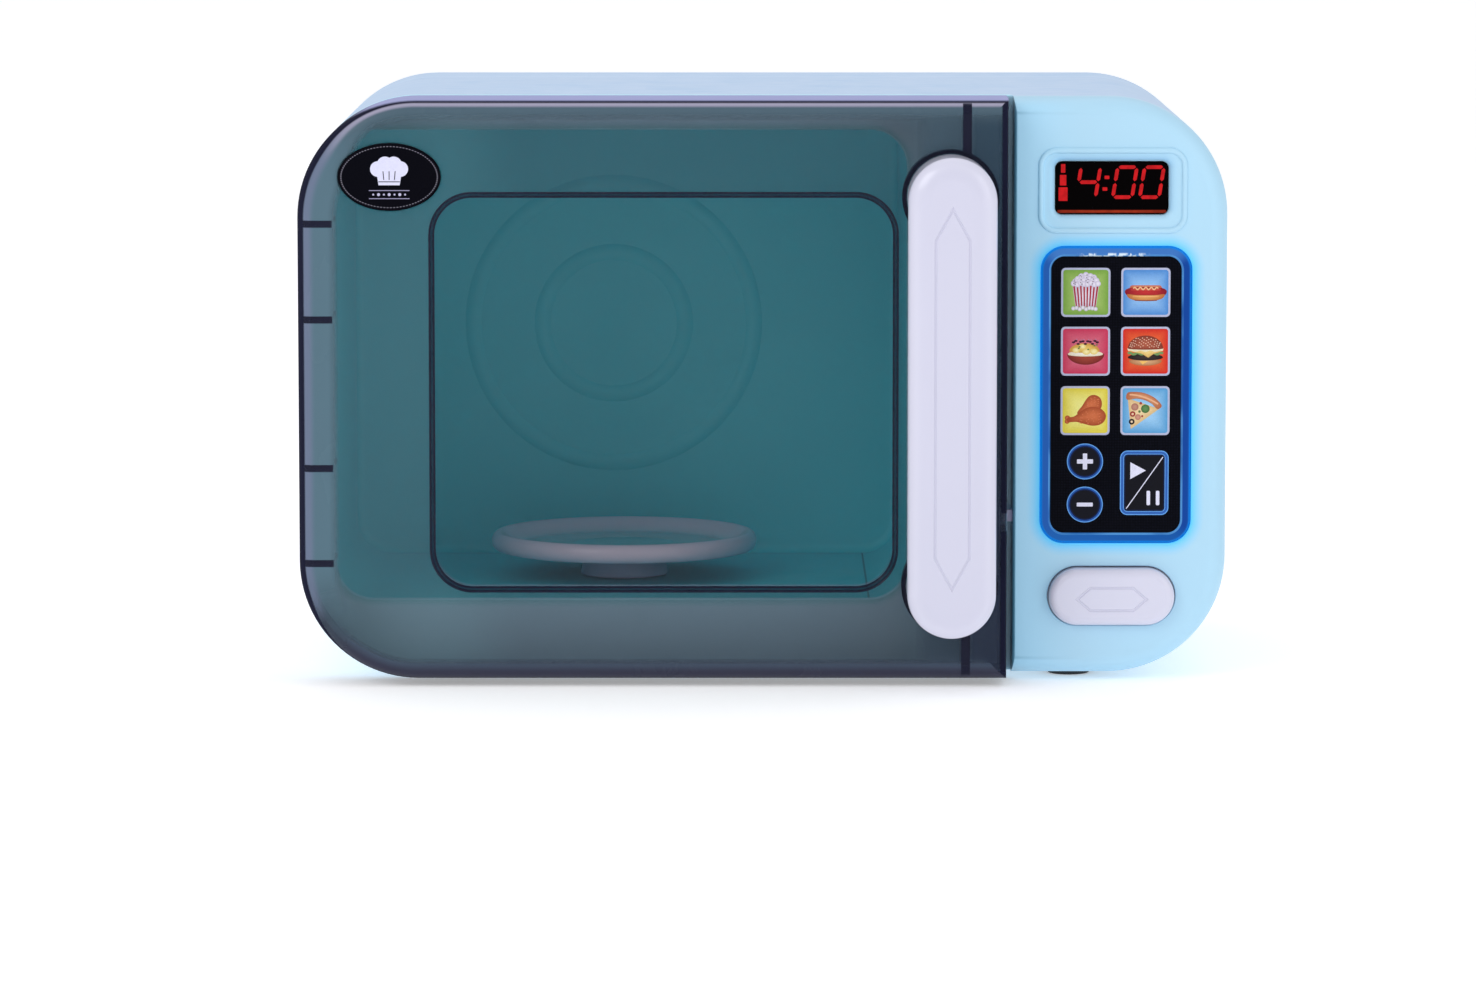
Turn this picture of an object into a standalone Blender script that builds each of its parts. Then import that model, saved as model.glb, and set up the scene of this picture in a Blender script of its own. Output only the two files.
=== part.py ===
# Toy microwave oven with a see-through door, a turntable and a push-button latch.
# Lengths are in metres and angles in degrees. +X is the width, +Z is up, and the front looks along -Y.
# Inside the file, X = 0 is the casing's middle, Y = 0 the face of the control panel (+Y goes into the casing)
# and Z = 0 the underside of the casing. One empty then stands the whole thing on the floor.

import math

import bmesh
import bpy
from mathutils import Matrix, Vector

for obj in list(bpy.data.objects):
    bpy.data.objects.remove(obj)

# Casing
body_width = 0.300
body_height = 0.1875
body_depth = 0.165
body_corner_radius = 0.0383
rear_cover_depth = 0.038
shell_wall = 0.0025
front_edge_fillet = 0.004
rear_edge_fillet = 0.006
parting_chamfer = 0.0006
panel_width = 0.0695
door_seat_depth = 0.009

# Fits
fit_gap = 0.0003
running_gap = 0.0004
cut_overrun = 0.002
weld_depth = 0.0004
merge_distance = 0.000002

# Door
door_gap = 0.0025
door_proud = 0.015
door_wall = 0.0023
door_face_wall = 0.0025
door_edge_fillet = 0.005
window_left_margin = 0.0421
window_right_margin = 0.0346
window_low = 0.0282
window_top_margin = 0.0297
window_corner = 0.014
window_step_width = 0.0020
window_step_depth = 0.0011
upright_rib_inset = 0.0129
upright_rib_thickness = 0.0030
upright_rib_depth = 0.0165

# Door hinge
hinge_inset = 0.005
hinge_ahead_of_seat = 0.0063
lower_hinge_height = 0.0536
upper_hinge_drop = 0.0551
hinge_rib_spacing = 0.0308
hinge_rib_thickness = 0.0022
hinge_rib_length = 0.012
hinge_rib_back = 0.0042
hinge_lug_radius = 0.0045
hinge_pin_radius = 0.0015

# Handle
handle_inset = 0.0181
handle_low = 0.016
handle_top_margin = 0.0175
handle_width = 0.0284
handle_stand_off = 0.024
handle_bar_thickness = 0.008
handle_crown = 0.004
handle_crown_width = 0.0075
handle_back_fillet = 0.0018
handle_foot_radius = 0.0140
handle_seat_radius = 0.0152
handle_seat_depth = 0.0008
handle_mark_half_width = 0.0059
handle_mark_margin = 0.01535
handle_mark_shoulder = 0.0108
mark_line_width = 0.0009
mark_line_depth = 0.0004
handle_boss_radius = 0.005
handle_boss_height = 0.002
handle_screw_length = 0.012

# Badge
badge_side_inset = 0.0299
badge_top_inset = 0.0249
badge_width = 0.0331
badge_height = 0.0218
badge_thickness = 0.0018
badge_seat_depth = 0.0008
badge_edge = 0.0004
badge_peg_radius = 0.0012
badge_peg_spacing = 0.020

# Control panel: display
display_side_inset = 0.0377
display_top_inset = 0.0295
display_width = 0.0366
display_height = 0.0171
display_corner = 0.0022
display_recess = 0.0012
lens_flange = 0.0019
lens_flange_thickness = 0.0012
bead_shift = (0.0003, -0.0008)
bead_width = 0.0483
bead_height = 0.0278
bead_corner = 0.006
bead_line = 0.0016
bead_proud = 0.0008
module_depth = 0.0087

# Control panel: touch field
touch_side_inset = 0.0361
ring_low = 0.043
ring_top_margin = 0.0485
ring_width = 0.0484
ring_corner = 0.0075
ring_line = 0.00315
ring_proud = 0.0006
ring_flange = 0.0020
ring_flange_thickness = 0.0010
ring_ledge_depth = 0.0013
overlay_proud = 0.0002
touch_board_margin = 0.0008
board_thickness = 0.0016
board_notch_width = 0.0070
board_notch_height = 0.010

# Control panel: main board
main_board_left_gap = 0.005
main_board_right_gap = 0.011
main_board_top_gap = 0.019
main_board_height = 0.0685
post_radius = 0.0022
post_left_inset = 0.0038
post_right_inset = 0.0037
post_top_inset = 0.0035
post_spacing = 0.0202
chip_size = 0.012
chip_height = 0.0022
capacitor_radius = 0.0022
capacitor_length = 0.0096
capacitor_spacing = 0.018

# Release button
button_side_inset = 0.0372
button_rise = 0.0255
button_width = 0.0408
button_height = 0.0186
button_proud = 0.0045
button_edge_fillet = 0.0022
button_wall = 0.0018
button_flange = 0.0013
button_flange_thickness = 0.0015
button_travel = 0.004
button_mark_half_height = 0.00375
button_mark_length = 0.0215
button_mark_shoulder = 0.0042
collar_wall = 0.0015
collar_spare = 0.0012
stem_radius = 0.002

# Door latch
nose_height = 0.0511
nose_thickness = 0.0037
nose_seat = 0.0065
nose_depth = 0.0030
nose_reach = 0.0015
nose_ramp = 0.0015
nose_slot_gap = 0.0008
nose_slot_front_gap = 0.0024
notch_height = 0.0065
lever_inset = 0.007
lever_nose_arm = 0.0176
lever_button_arm = 0.015
lever_arm_thickness = 0.0032
lever_push_thickness = 0.0025
lever_push_height = 0.006
lever_tube_radius = 0.0032
lever_pin_radius = 0.00125
lever_pin_head_radius = 0.0022
lever_pin_head_height = 0.0010
bracket_thickness = 0.0025
bracket_low = 0.0173
bracket_high = 0.057
bracket_root = 0.0085
bracket_width = 0.01275
spring_length = 0.012
spring_radius = 0.0026
spring_wire_radius = 0.00035
spring_turns = 5
spring_seat_height = 0.0125
spring_seat_width = 0.009

# Oven
oven_left_margin = 0.0107
oven_right_margin = 0.0342
oven_floor = 0.0234
oven_top_margin = 0.0112
oven_corner = 0.012
oven_back_gap = 0.028
oven_back_fillet = 0.003
liner_wall = 0.0016
liner_flange = 0.0026
liner_flange_thickness = 0.002
liner_flange_corner = 0.028
back_ring_shift = (-0.0045, 0.0028)
back_ring_radii = (0.0244, 0.0481)
back_ring_width = 0.004
back_ring_height = 0.0008
liner_ear_half = 0.0045
liner_ear_length = 0.0078
liner_bottom_ear_inset = 0.0293
liner_side_ear_low = 0.045
liner_side_ear_drop = 0.0325
liner_boss_radius = 0.003
liner_boss_length = 0.006
liner_screw_length = 0.005

# Turntable and its drive
turntable_back_gap = 0.064
plate_radius = 0.0445
plate_bottom = 0.0317
plate_rim_top = 0.0384
plate_thickness = 0.0022
plate_shoulder_share = 0.6
plate_flat_radius = 0.035
plate_rim_radius = 0.0016
hub_radius = 0.0145
hub_top_radius = 0.0132
hub_lift = 0.0005
hub_peg_radius = 0.005
hub_peg_height = 0.0012
drive_hex = 0.0030
shaft_radius = 0.0031
bush_radius = 0.0065
bush_length = 0.0043
gear_module = 0.00125
gear_teeth = 32
pinion_teeth = 12
pinion_phase_share = 0.5
pressure_angle = 20
addendum_share = 0.8
dedendum_share = 1.15
gear_backlash = 0.0003
gear_thickness = 0.004
gear_low = 0.012
gear_hub_radius = 0.005
gear_web_inset = 0.004
gear_web_recess = 0.0015
journal_radius = 0.0022
pivot_boss_radius = 0.005
pivot_boss_height = 0.0065
pinion_shaft_radius = 0.0015
gear_box_length = 0.032
gear_box_width = 0.026
gear_box_height = 0.0082
gear_box_corner = 0.003
gear_box_overhang = 0.0075
motor_radius = 0.0075
motor_length = 0.025
motor_cap_radius = 0.003
motor_cap_length = 0.0015

# Rear cover
lip_reach = 0.0025
lip_wall = 0.0013
lip_root = 0.004
rear_boss_inset = 0.0062
rear_boss_side_inset = 0.050
rear_boss_radius = 0.003
rear_boss_length = 0.014
rear_boss_web_thickness = 0.0016
counterbore_depth = 0.023
counterbore_radius = 0.0031
counterbore_wall = 0.0011
rear_screw_length = 0.022
screw_radius = 0.0011
screw_head_radius = 0.0024
screw_head_height = 0.0017
head_top_share = 0.7

# Loudspeaker
speaker_side_inset = 0.090
speaker_top_inset = 0.0775
speaker_radius = 0.018
speaker_depth = 0.012
speaker_magnet_radius = 0.009
speaker_rim_thickness = 0.0025
speaker_ring_wall = 0.0015
speaker_ring_height = 0.006
grille_radius = 0.015
grille_pitch = 0.0042
grille_slot_height = 0.0016
grille_rows = 7

# Batteries
bay_side_inset = 0.045
bay_rise = 0.070
cell_radius = 0.00725
cell_length = 0.0505
cell_pitch = 0.0152
cell_nub_radius = 0.0027
cell_nub_length = 0.0010
cell_count = 3
bay_depth = 0.0165
bay_spare = 0.0038
bay_wall = 0.0018
bay_side_gap = 0.0015
bay_cover_thickness = 0.002
bay_cover_margin = 0.0026
bay_cover_head = 0.008
bay_cover_corner = 0.003
bay_tab_width = 0.006
bay_tab_reach = 0.0018
bay_tab_spread = 0.014
bay_screw_length = 0.007
bay_boss_radius = 0.0032
contact_thickness = 0.0006
contact_depth = 0.010
contact_bump_radius = 0.003
contact_bump_height = 0.0022

# Power switch
switch_rise = 0.01635
switch_recess_width = 0.018
switch_recess_height = 0.009
switch_recess_depth = 0.0013
switch_recess_corner = 0.002
knob_width = 0.0038
knob_height = 0.0034
knob_travel = 0.004
knob_base_margin = 0.0012
knob_base_thickness = 0.0009
switch_body_width = 0.020
switch_body_height = 0.009
switch_body_depth = 0.006

# Feet
foot_height = 0.0025
foot_radius = 0.007
foot_taper = 0.0008
foot_plug_radius = 0.0022
foot_side_inset = 0.050
foot_front_depth = 0.022
foot_rear_gap = 0.061

# Smoothness of curves
body_corner_steps = 6
small_corner_steps = 3
fillet_steps = 3
round_steps = 32
small_round_steps = 8
chamfer_limit = 0.001

# Where one piece meets another
body_side = body_width / 2
parting_depth = body_depth - rear_cover_depth
panel_left = body_side - panel_width
door_right = panel_left - door_gap
window_left = -body_side + window_left_margin
window_right = door_right - window_right_margin
window_high = body_height - window_top_margin
window_width = window_right - window_left
window_height = window_high - window_low
window_centre = ((window_left + window_right) / 2, (window_low + window_high) / 2)
upright_rib_x = door_right - upright_rib_inset
upper_hinge_height = body_height - upper_hinge_drop
handle_high = body_height - handle_top_margin
handle_length = handle_high - handle_low
handle_centre = (door_right - handle_inset, (handle_low + handle_high) / 2)
handle_mark_length = handle_length - 2 * handle_mark_margin
badge_centre = (-body_side + badge_side_inset, body_height - badge_top_inset)
display_centre = (body_side - display_side_inset, body_height - display_top_inset)
bead_centre = (display_centre[0] + bead_shift[0], display_centre[1] + bead_shift[1])
ring_high = body_height - ring_top_margin
ring_height = ring_high - ring_low
touch_centre = (body_side - touch_side_inset, (ring_low + ring_high) / 2)
main_board_left = panel_left + main_board_left_gap
main_board_right = body_side - main_board_right_gap
main_board_top = body_height - main_board_top_gap
main_board_bottom = main_board_top - main_board_height
button_centre = (body_side - button_side_inset, button_rise)
lever_axis_x = panel_left + lever_inset
oven_left = -body_side + oven_left_margin
oven_right = panel_left - oven_right_margin
oven_high = body_height - oven_top_margin
oven_width = oven_right - oven_left
oven_height = oven_high - oven_floor
oven_centre = ((oven_left + oven_right) / 2, (oven_floor + oven_high) / 2)
oven_depth = body_depth - oven_back_gap
turntable_depth = oven_depth - turntable_back_gap
rear_boss_spread = body_side - rear_boss_side_inset
speaker_centre = (-body_side + speaker_side_inset, body_height - speaker_top_inset)
bay_centre = (body_side - bay_side_inset, bay_rise)
foot_spread = body_side - foot_side_inset
foot_rear_depth = body_depth - foot_rear_gap
door_front = -door_proud
door_back = door_seat_depth - fit_gap
door_inside = door_front + door_face_wall
hinge_x = -body_side + hinge_inset
hinge_y = door_seat_depth - hinge_ahead_of_seat
hinge_heights = (lower_hinge_height, upper_hinge_height)
hinge_lug_height = hinge_rib_spacing - hinge_rib_thickness - 2 * running_gap
handle_crest = door_front - handle_stand_off
handle_bar_back = handle_crest + handle_bar_thickness
handle_foot_spread = handle_length / 2 - handle_width / 2
handle_foot_heights = (handle_centre[1] - handle_foot_spread, handle_centre[1] + handle_foot_spread)
frame_back = door_seat_depth + shell_wall
lens_back = shell_wall + fit_gap + lens_flange_thickness
ring_back = shell_wall + fit_gap + ring_flange_thickness
main_board_front = lens_back + fit_gap + module_depth + fit_gap
lever_axis_y = nose_seat + lever_nose_arm
lever_low = bracket_low + bracket_thickness + fit_gap
lever_high = bracket_high - fit_gap
stem_x = lever_axis_x + lever_button_arm
spring_start = lever_axis_y + lever_push_thickness + fit_gap
liner_front = frame_back + fit_gap
turntable_x = oven_centre[0]
drive_spacing = gear_module * (gear_teeth + pinion_teeth) / 2
pinion_x = turntable_x + drive_spacing
gear_high = gear_low + gear_thickness
pivot_boss_top = shell_wall + pivot_boss_height
rear_inside = body_depth - shell_wall
cover_start = parting_depth + fit_gap
screw_seat = body_depth - counterbore_depth
bay_inner_width = cell_pitch * (cell_count - 1) + 2 * cell_radius + 2 * bay_side_gap
bay_inner_height = cell_length + 2 * bay_spare
bay_cover_back = body_depth - bay_cover_thickness
bay_floor = bay_cover_back - bay_depth
bay_cover_width = bay_inner_width + 2 * bay_cover_margin
bay_cover_height = bay_inner_height + 2 * bay_cover_margin
bay_cover_low = bay_centre[1] - bay_cover_height / 2
bay_cover_high = bay_centre[1] + bay_cover_height / 2 + bay_cover_head
bay_screw_z = bay_centre[1] + bay_cover_height / 2 + bay_cover_head / 2
switch_centre = (bay_centre[0], bay_cover_high + switch_rise)
handle_reach = door_proud + handle_stand_off
panel_face_y = (handle_reach - body_depth) / 2


# Drawing outlines

def arc(centre, radius, start, end, steps):
    points = []
    for step in range(steps + 1):
        angle = math.radians(start + (end - start) * step / steps)
        points.append((centre[0] + radius * math.cos(angle), centre[1] + radius * math.sin(angle)))
    return points


def circle(centre, radius, steps):
    return arc(centre, radius, 0, 360, steps)[:-1]


def rounded(centre, width, height, corner, steps=small_corner_steps):
    """An outline with round corners, which can be drawn inwards by an inset."""

    def outline(inset=0):
        radius = corner - inset
        across = width / 2 - corner
        up = height / 2 - corner
        x, z = centre
        return (
            arc((x + across, z + up), radius, 0, 90, steps)
            + arc((x - across, z + up), radius, 90, 180, steps)
            + arc((x - across, z - up), radius, 180, 270, steps)
            + arc((x + across, z - up), radius, 270, 360, steps)
        )

    return outline


def pill(centre, width, height, steps=small_corner_steps * 4):
    """A bar with round ends."""
    radius = min(width, height) / 2

    def outline(inset=0):
        r = radius - inset
        x, z = centre
        if width > height:
            half = width / 2 - radius
            return arc((x + half, z), r, -90, 90, steps) + arc((x - half, z), r, 90, 270, steps)
        half = height / 2 - radius
        return arc((x, z + half), r, 0, 180, steps) + arc((x, z - half), r, 180, 360, steps)

    return outline


def oval(centre, width, height, steps=round_steps):
    def outline(inset=0):
        points = []
        for step in range(steps):
            angle = 2 * math.pi * step / steps
            x = (width / 2 - inset) * math.cos(angle)
            z = (height / 2 - inset) * math.sin(angle)
            points.append((centre[0] + x, centre[1] + z))
        return points

    return outline


def fixed(points):
    return lambda inset=0: points


def body_section(wall=0, left=None, right=None):
    """The casing's outline drawn in by a wall. A side given as left or right is straight and upright."""

    def outline(inset=0):
        inside = wall + inset
        radius = body_corner_radius - inside
        across = body_side - body_corner_radius
        low = body_corner_radius
        high = body_height - body_corner_radius
        points = []
        for side, height, start in ((1, high, 0), (-1, high, 90), (-1, low, 180), (1, low, 270)):
            straight = right if side > 0 else left
            if straight is None:
                points += arc((side * across, height), radius, start, start + 90, body_corner_steps)
            else:
                points.append((straight, inside if height == low else body_height - inside))
        return points

    return outline


def levels(start, end, start_fillet=0, end_fillet=0, steps=fillet_steps):
    """Pairs of inset and place, from one end face to the other, round at the ends that have a fillet."""

    def angles(fillet):
        """A fillet under the chamfer limit is one flat chamfer."""
        count = steps if fillet > chamfer_limit else 1
        return [math.pi / 2 * step / count for step in range(count + 1)]

    pairs = []
    if start_fillet:
        for a in angles(start_fillet):
            pairs.append((start_fillet * (1 - math.sin(a)), start + start_fillet * (1 - math.cos(a))))
    else:
        pairs.append((0, start))
    if end_fillet:
        for a in angles(end_fillet):
            pairs.append((end_fillet * (1 - math.cos(a)), end - end_fillet * (1 - math.sin(a))))
    else:
        pairs.append((0, end))
    return pairs


def hexagon_mark(centre, length, half_width, shoulder, upright):
    """A long hexagon with pointed ends, along Z or along X."""
    half = length / 2
    corners = (
        (half, 0),
        (half - shoulder, half_width),
        (shoulder - half, half_width),
        (-half, 0),
        (shoulder - half, -half_width),
        (half - shoulder, -half_width),
    )
    if upright:
        return [(centre[0] - side, centre[1] + along) for along, side in corners]
    return [(centre[0] + along, centre[1] + side) for along, side in corners]


def gear_outline(centre, teeth, phase_share):
    """Involute teeth. A flank is drawn from the base circle to the tip, thinned by the backlash."""
    pitch_radius = gear_module * teeth / 2
    base_radius = pitch_radius * math.cos(math.radians(pressure_angle))
    tip_radius = pitch_radius + gear_module * addendum_share
    root_radius = pitch_radius - gear_module * dedendum_share
    involute = math.tan(math.radians(pressure_angle)) - math.radians(pressure_angle)
    half_tooth = math.pi / (2 * teeth) - gear_backlash / (2 * pitch_radius)

    def flank(radius):
        """Half the tooth's angle at a radius."""
        if radius <= base_radius:
            return half_tooth + involute
        angle = math.acos(base_radius / radius)
        return half_tooth + involute - (math.tan(angle) - angle)

    radii = [root_radius, pitch_radius, tip_radius]
    points = []
    for tooth in range(teeth):
        middle = 2 * math.pi * (tooth + phase_share) / teeth
        sides = [(r, middle - flank(r)) for r in radii] + [(r, middle + flank(r)) for r in reversed(radii)]
        points += [(centre[0] + r * math.cos(a), centre[1] + r * math.sin(a)) for r, a in sides]
    return points


# Making solids

def new_object(name, shape):
    bmesh.ops.recalc_face_normals(shape, faces=shape.faces)
    mesh = bpy.data.meshes.new(name)
    shape.to_mesh(mesh)
    shape.free()
    obj = bpy.data.objects.new(name, mesh)
    bpy.context.collection.objects.link(obj)
    return obj


def at(axis, along, point):
    """A point of an outline, put at a place along X, Y or Z."""
    u, v = point
    return {"X": (along, u, v), "Y": (u, along, v), "Z": (u, v, along)}[axis]


def block(name, outline, axis, pairs):
    """A solid through copies of one outline, each with its inset and its place along the axis."""
    shape = bmesh.new()
    rings = [[shape.verts.new(at(axis, along, point)) for point in outline(inset)] for inset, along in pairs]
    for lower, upper in zip(rings, rings[1:]):
        for i in range(len(lower)):
            shape.faces.new((lower[i - 1], lower[i], upper[i], upper[i - 1]))
    shape.faces.new(rings[0])
    shape.faces.new(rings[-1])
    return new_object(name, shape)


def box(name, xs, ys, zs):
    corners = [(xs[0], zs[0]), (xs[1], zs[0]), (xs[1], zs[1]), (xs[0], zs[1])]
    return block(name, fixed(corners), "Y", [(0, ys[0]), (0, ys[1])])


def turned(name, profile, axis, centre, steps=round_steps, ring=False):
    """A profile of radius and place turned round an axis. A ring's profile closes on itself."""
    shape = bmesh.new()
    rings = []
    for radius, along in profile:
        if radius == 0:
            rings.append([shape.verts.new(at(axis, along, centre))] * steps)
        else:
            rings.append([shape.verts.new(at(axis, along, point)) for point in circle(centre, radius, steps)])
    pairs = list(zip(rings, rings[1:]))
    if ring:
        pairs.append((rings[-1], rings[0]))
    for lower, upper in pairs:
        for i in range(steps):
            corners = tuple(dict.fromkeys((lower[i - 1], lower[i], upper[i], upper[i - 1])))
            if len(corners) > 2:
                shape.faces.new(corners)
    return new_object(name, shape)


def rod(name, axis, centre, radius, start, end, steps=small_round_steps):
    return turned(name, [(0, start), (radius, start), (radius, end), (0, end)], axis, centre, steps)


def merged(mesh):
    """Merges the points that a Boolean leaves almost in one place."""
    shape = bmesh.new()
    shape.from_mesh(mesh)
    bmesh.ops.remove_doubles(shape, verts=shape.verts, dist=merge_distance)
    bmesh.ops.dissolve_degenerate(shape, edges=shape.edges, dist=merge_distance)
    shape.to_mesh(mesh)
    shape.free()


def shaped(target, tools, operation):
    """Cuts tools from the target or joins them to it, and clears them away."""
    for tool in tools:
        modifier = target.modifiers.new(tool.name, "BOOLEAN")
        modifier.operation = operation
        modifier.solver = "EXACT"
        modifier.object = tool
        graph = bpy.context.evaluated_depsgraph_get()
        mesh = bpy.data.meshes.new_from_object(target.evaluated_get(graph))
        merged(mesh)
        target.modifiers.clear()
        spent = target.data
        target.data = mesh
        bpy.data.meshes.remove(spent)
        bpy.data.objects.remove(tool)
    target.data.name = target.name
    return target


def cut(target, *tools):
    return shaped(target, tools, "DIFFERENCE")


def join(target, *tools):
    return shaped(target, tools, "UNION")


def outline_ridge(name, outline, line, low, high):
    """A closed bead that follows an outline, as wide as the line."""
    return cut(
        block(name, outline, "Y", [(0, low), (0, high)]),
        block("inner", outline, "Y", [(line, low - cut_overrun), (line, high + cut_overrun)]),
    )


def mark_groove(name, corners, centre, low, high):
    """The cutter of a fine line round a hexagon."""
    lengths = [math.dist(corner, centre) for corner in corners]
    shrunk = []
    for corner, length in zip(corners, lengths):
        share = 1 - 2 * mark_line_width / length
        shrunk.append(tuple(middle + (place - middle) * share for place, middle in zip(corner, centre)))
    return cut(
        block(name, fixed(corners), "Y", [(0, low), (0, high)]),
        block("inner", fixed(shrunk), "Y", [(0, low - cut_overrun), (0, high + cut_overrun)]),
    )


def helix(name, centre, start, end, radius, wire_radius, turns):
    """A spring along Y as one round tube."""
    steps = turns * small_round_steps
    sides = small_round_steps // 2
    shape = bmesh.new()
    rings = []
    for step in range(steps + 1):
        angle = 2 * math.pi * turns * step / steps
        along = start + wire_radius + (end - start - 2 * wire_radius) * step / steps
        outward = Vector((math.cos(angle), 0, math.sin(angle)))
        middle = Vector((centre[0], along, centre[1])) + outward * radius
        ring = []
        for side in range(sides):
            turn = 2 * math.pi * side / sides
            offset = outward * math.cos(turn) + Vector((0, 1, 0)) * math.sin(turn)
            ring.append(shape.verts.new(middle + offset * wire_radius))
        rings.append(ring)
    for lower, upper in zip(rings, rings[1:]):
        for i in range(sides):
            shape.faces.new((lower[i - 1], lower[i], upper[i], upper[i - 1]))
    shape.faces.new(rings[0])
    shape.faces.new(rings[-1])
    return new_object(name, shape)


def screw(name, centre, seat, length, towards, head_radius=screw_head_radius):
    """A pan-head screw along Y. Its head stands on the seat and its tip points towards +1 or -1."""
    tip = seat + towards * length
    back = seat - towards * screw_head_height
    shoulder = seat - towards * screw_head_height / 2
    profile = [
        (0, tip),
        (screw_radius, tip - towards * screw_radius),
        (screw_radius, seat),
        (head_radius, seat),
        (head_radius, shoulder),
        (head_radius * head_top_share, back),
        (0, back),
    ]
    return turned(name, profile, "Y", centre, small_round_steps)


# Front housing

def frame_cuts():
    far = body_width
    oven = rounded(oven_centre, oven_width, oven_height, oven_corner, body_corner_steps)
    return (
        box("door_seat", (-far, panel_left), (-cut_overrun, door_seat_depth), (-far, far)),
        block("inside", body_section(shell_wall), "Y", [(0, frame_back), (0, parting_depth + cut_overrun)]),
        block(
            "panel_inside",
            body_section(shell_wall, left=panel_left + shell_wall),
            "Y",
            [(0, shell_wall), (0, frame_back + cut_overrun)],
        ),
        block("oven_mouth", oven, "Y", [(0, 0), (0, frame_back + cut_overrun)]),
    )


def panel_openings():
    display = rounded(display_centre, display_width, display_height, display_corner)
    ring = rounded(touch_centre, ring_width + 2 * fit_gap, ring_height + 2 * fit_gap, ring_corner + fit_gap)
    button = pill(button_centre, button_width + 2 * running_gap, button_height + 2 * running_gap)
    through = [(0, -cut_overrun), (0, shell_wall + cut_overrun)]
    nose_front = nose_seat - nose_depth / 2
    slot_half = nose_thickness / 2 + nose_slot_gap
    slot = box(
        "nose_slot",
        (panel_left - cut_overrun, panel_left + shell_wall + cut_overrun),
        (nose_front - nose_slot_front_gap, nose_front + nose_depth + nose_slot_gap / 2),
        (nose_height - slot_half, nose_height + slot_half),
    )
    return (
        block("display_hole", display, "Y", through),
        block("ring_hole", ring, "Y", through),
        block("button_hole", button, "Y", through),
        slot,
    )


def hinge_lug(middle):
    arm = arc((hinge_x, hinge_y), hinge_lug_radius, 0, -270, small_round_steps)
    root = door_seat_depth + weld_depth
    corners = [(hinge_x + hinge_lug_radius, root)] + arm + [(hinge_x, root)]
    half = hinge_lug_height / 2
    return block("hinge_lug", fixed(corners), "Z", [(0, middle - half), (0, middle + half)])


def hinge_bore(middle):
    half = hinge_rib_spacing / 2 + hinge_rib_thickness / 2 + cut_overrun
    radius = hinge_pin_radius + fit_gap
    return rod("hinge_bore", "Z", (hinge_x, hinge_y), radius, middle - half, middle + half)


def latch_bracket():
    """Two tabs that hold the lever's pin. The lower one runs on to the spring's seat."""
    pivot = (lever_axis_x, lever_axis_y)
    root = frame_back - weld_depth
    left = panel_left + shell_wall - bracket_root / 2
    tab_radius = lever_tube_radius + lever_pin_radius
    right = left + bracket_width
    tab = [(left, root), (right, root)] + arc(pivot, tab_radius, 0, 180, small_corner_steps * 2)
    seat_start = spring_start + spring_length + fit_gap
    seat_end = seat_start + bracket_thickness
    seat_half = spring_seat_width / 2
    floor = [
        (left, root),
        (right, root),
        (stem_x + seat_half, lever_axis_y),
        (stem_x + seat_half, seat_end),
        (stem_x - seat_half, seat_end),
        (lever_axis_x - tab_radius, lever_axis_y + tab_radius),
    ]
    low = [(0, bracket_low), (0, bracket_low + bracket_thickness)]
    high = [(0, bracket_high), (0, bracket_high + bracket_thickness)]
    top = bracket_low + bracket_thickness - weld_depth
    seat = box(
        "spring_seat",
        (stem_x - seat_half, stem_x + seat_half),
        (seat_start, seat_end),
        (top, top + spring_seat_height),
    )
    return (
        block("lower_tab", fixed(floor), "Z", low),
        block("upper_tab", fixed(tab), "Z", high),
        seat,
    )


def latch_pin_holes():
    pivot = (lever_axis_x, lever_axis_y)
    radius = lever_pin_radius + fit_gap
    end = bracket_high + 2 * bracket_thickness
    return rod("pin_hole", "Z", pivot, radius, bracket_low - cut_overrun, end)


def post_places():
    high = main_board_top - post_top_inset
    sides = (main_board_left + post_left_inset, main_board_right - post_right_inset)
    return [(x, z) for z in (high - post_spacing, high) for x in sides]


def board_posts():
    end = main_board_front - fit_gap
    return [rod("post", "Y", place, post_radius, shell_wall - weld_depth, end) for place in post_places()]


def button_collar():
    gap = button_flange + running_gap
    reach = gap + collar_wall
    inner = pill(button_centre, button_width + 2 * gap, button_height + 2 * gap)
    outer = pill(button_centre, button_width + 2 * reach, button_height + 2 * reach)
    start = shell_wall - weld_depth
    end = shell_wall + fit_gap + button_flange_thickness + button_travel + collar_spare
    return cut(
        block("collar", outer, "Y", [(0, start), (0, end)]),
        block("collar_inside", inner, "Y", [(0, start - cut_overrun), (0, end + cut_overrun)]),
    )


def rear_boss_places():
    heights = (rear_boss_inset, body_height - rear_boss_inset)
    return [(x, z) for z in heights for x in (-rear_boss_spread, rear_boss_spread)]


def rear_boss_web(place, start, end):
    """The short wall between a screw boss and the top or the bottom of the casing."""
    x, z = place
    wall = shell_wall - weld_depth if z < body_height / 2 else body_height - shell_wall + weld_depth
    half = rear_boss_web_thickness / 2
    return box("boss_web", (x - half, x + half), (start, end), sorted((z, wall)))


def front_bosses():
    start = parting_depth - rear_boss_length
    tools = []
    for place in rear_boss_places():
        tools.append(rod("boss", "Y", place, rear_boss_radius, start, parting_depth))
        tools.append(rear_boss_web(place, start, parting_depth))
    return tools


def front_boss_holes():
    start = parting_depth - rear_boss_length + rear_boss_radius
    end = parting_depth + cut_overrun
    radius = screw_radius + fit_gap
    return [rod("hole", "Y", place, radius, start, end) for place in rear_boss_places()]


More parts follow.
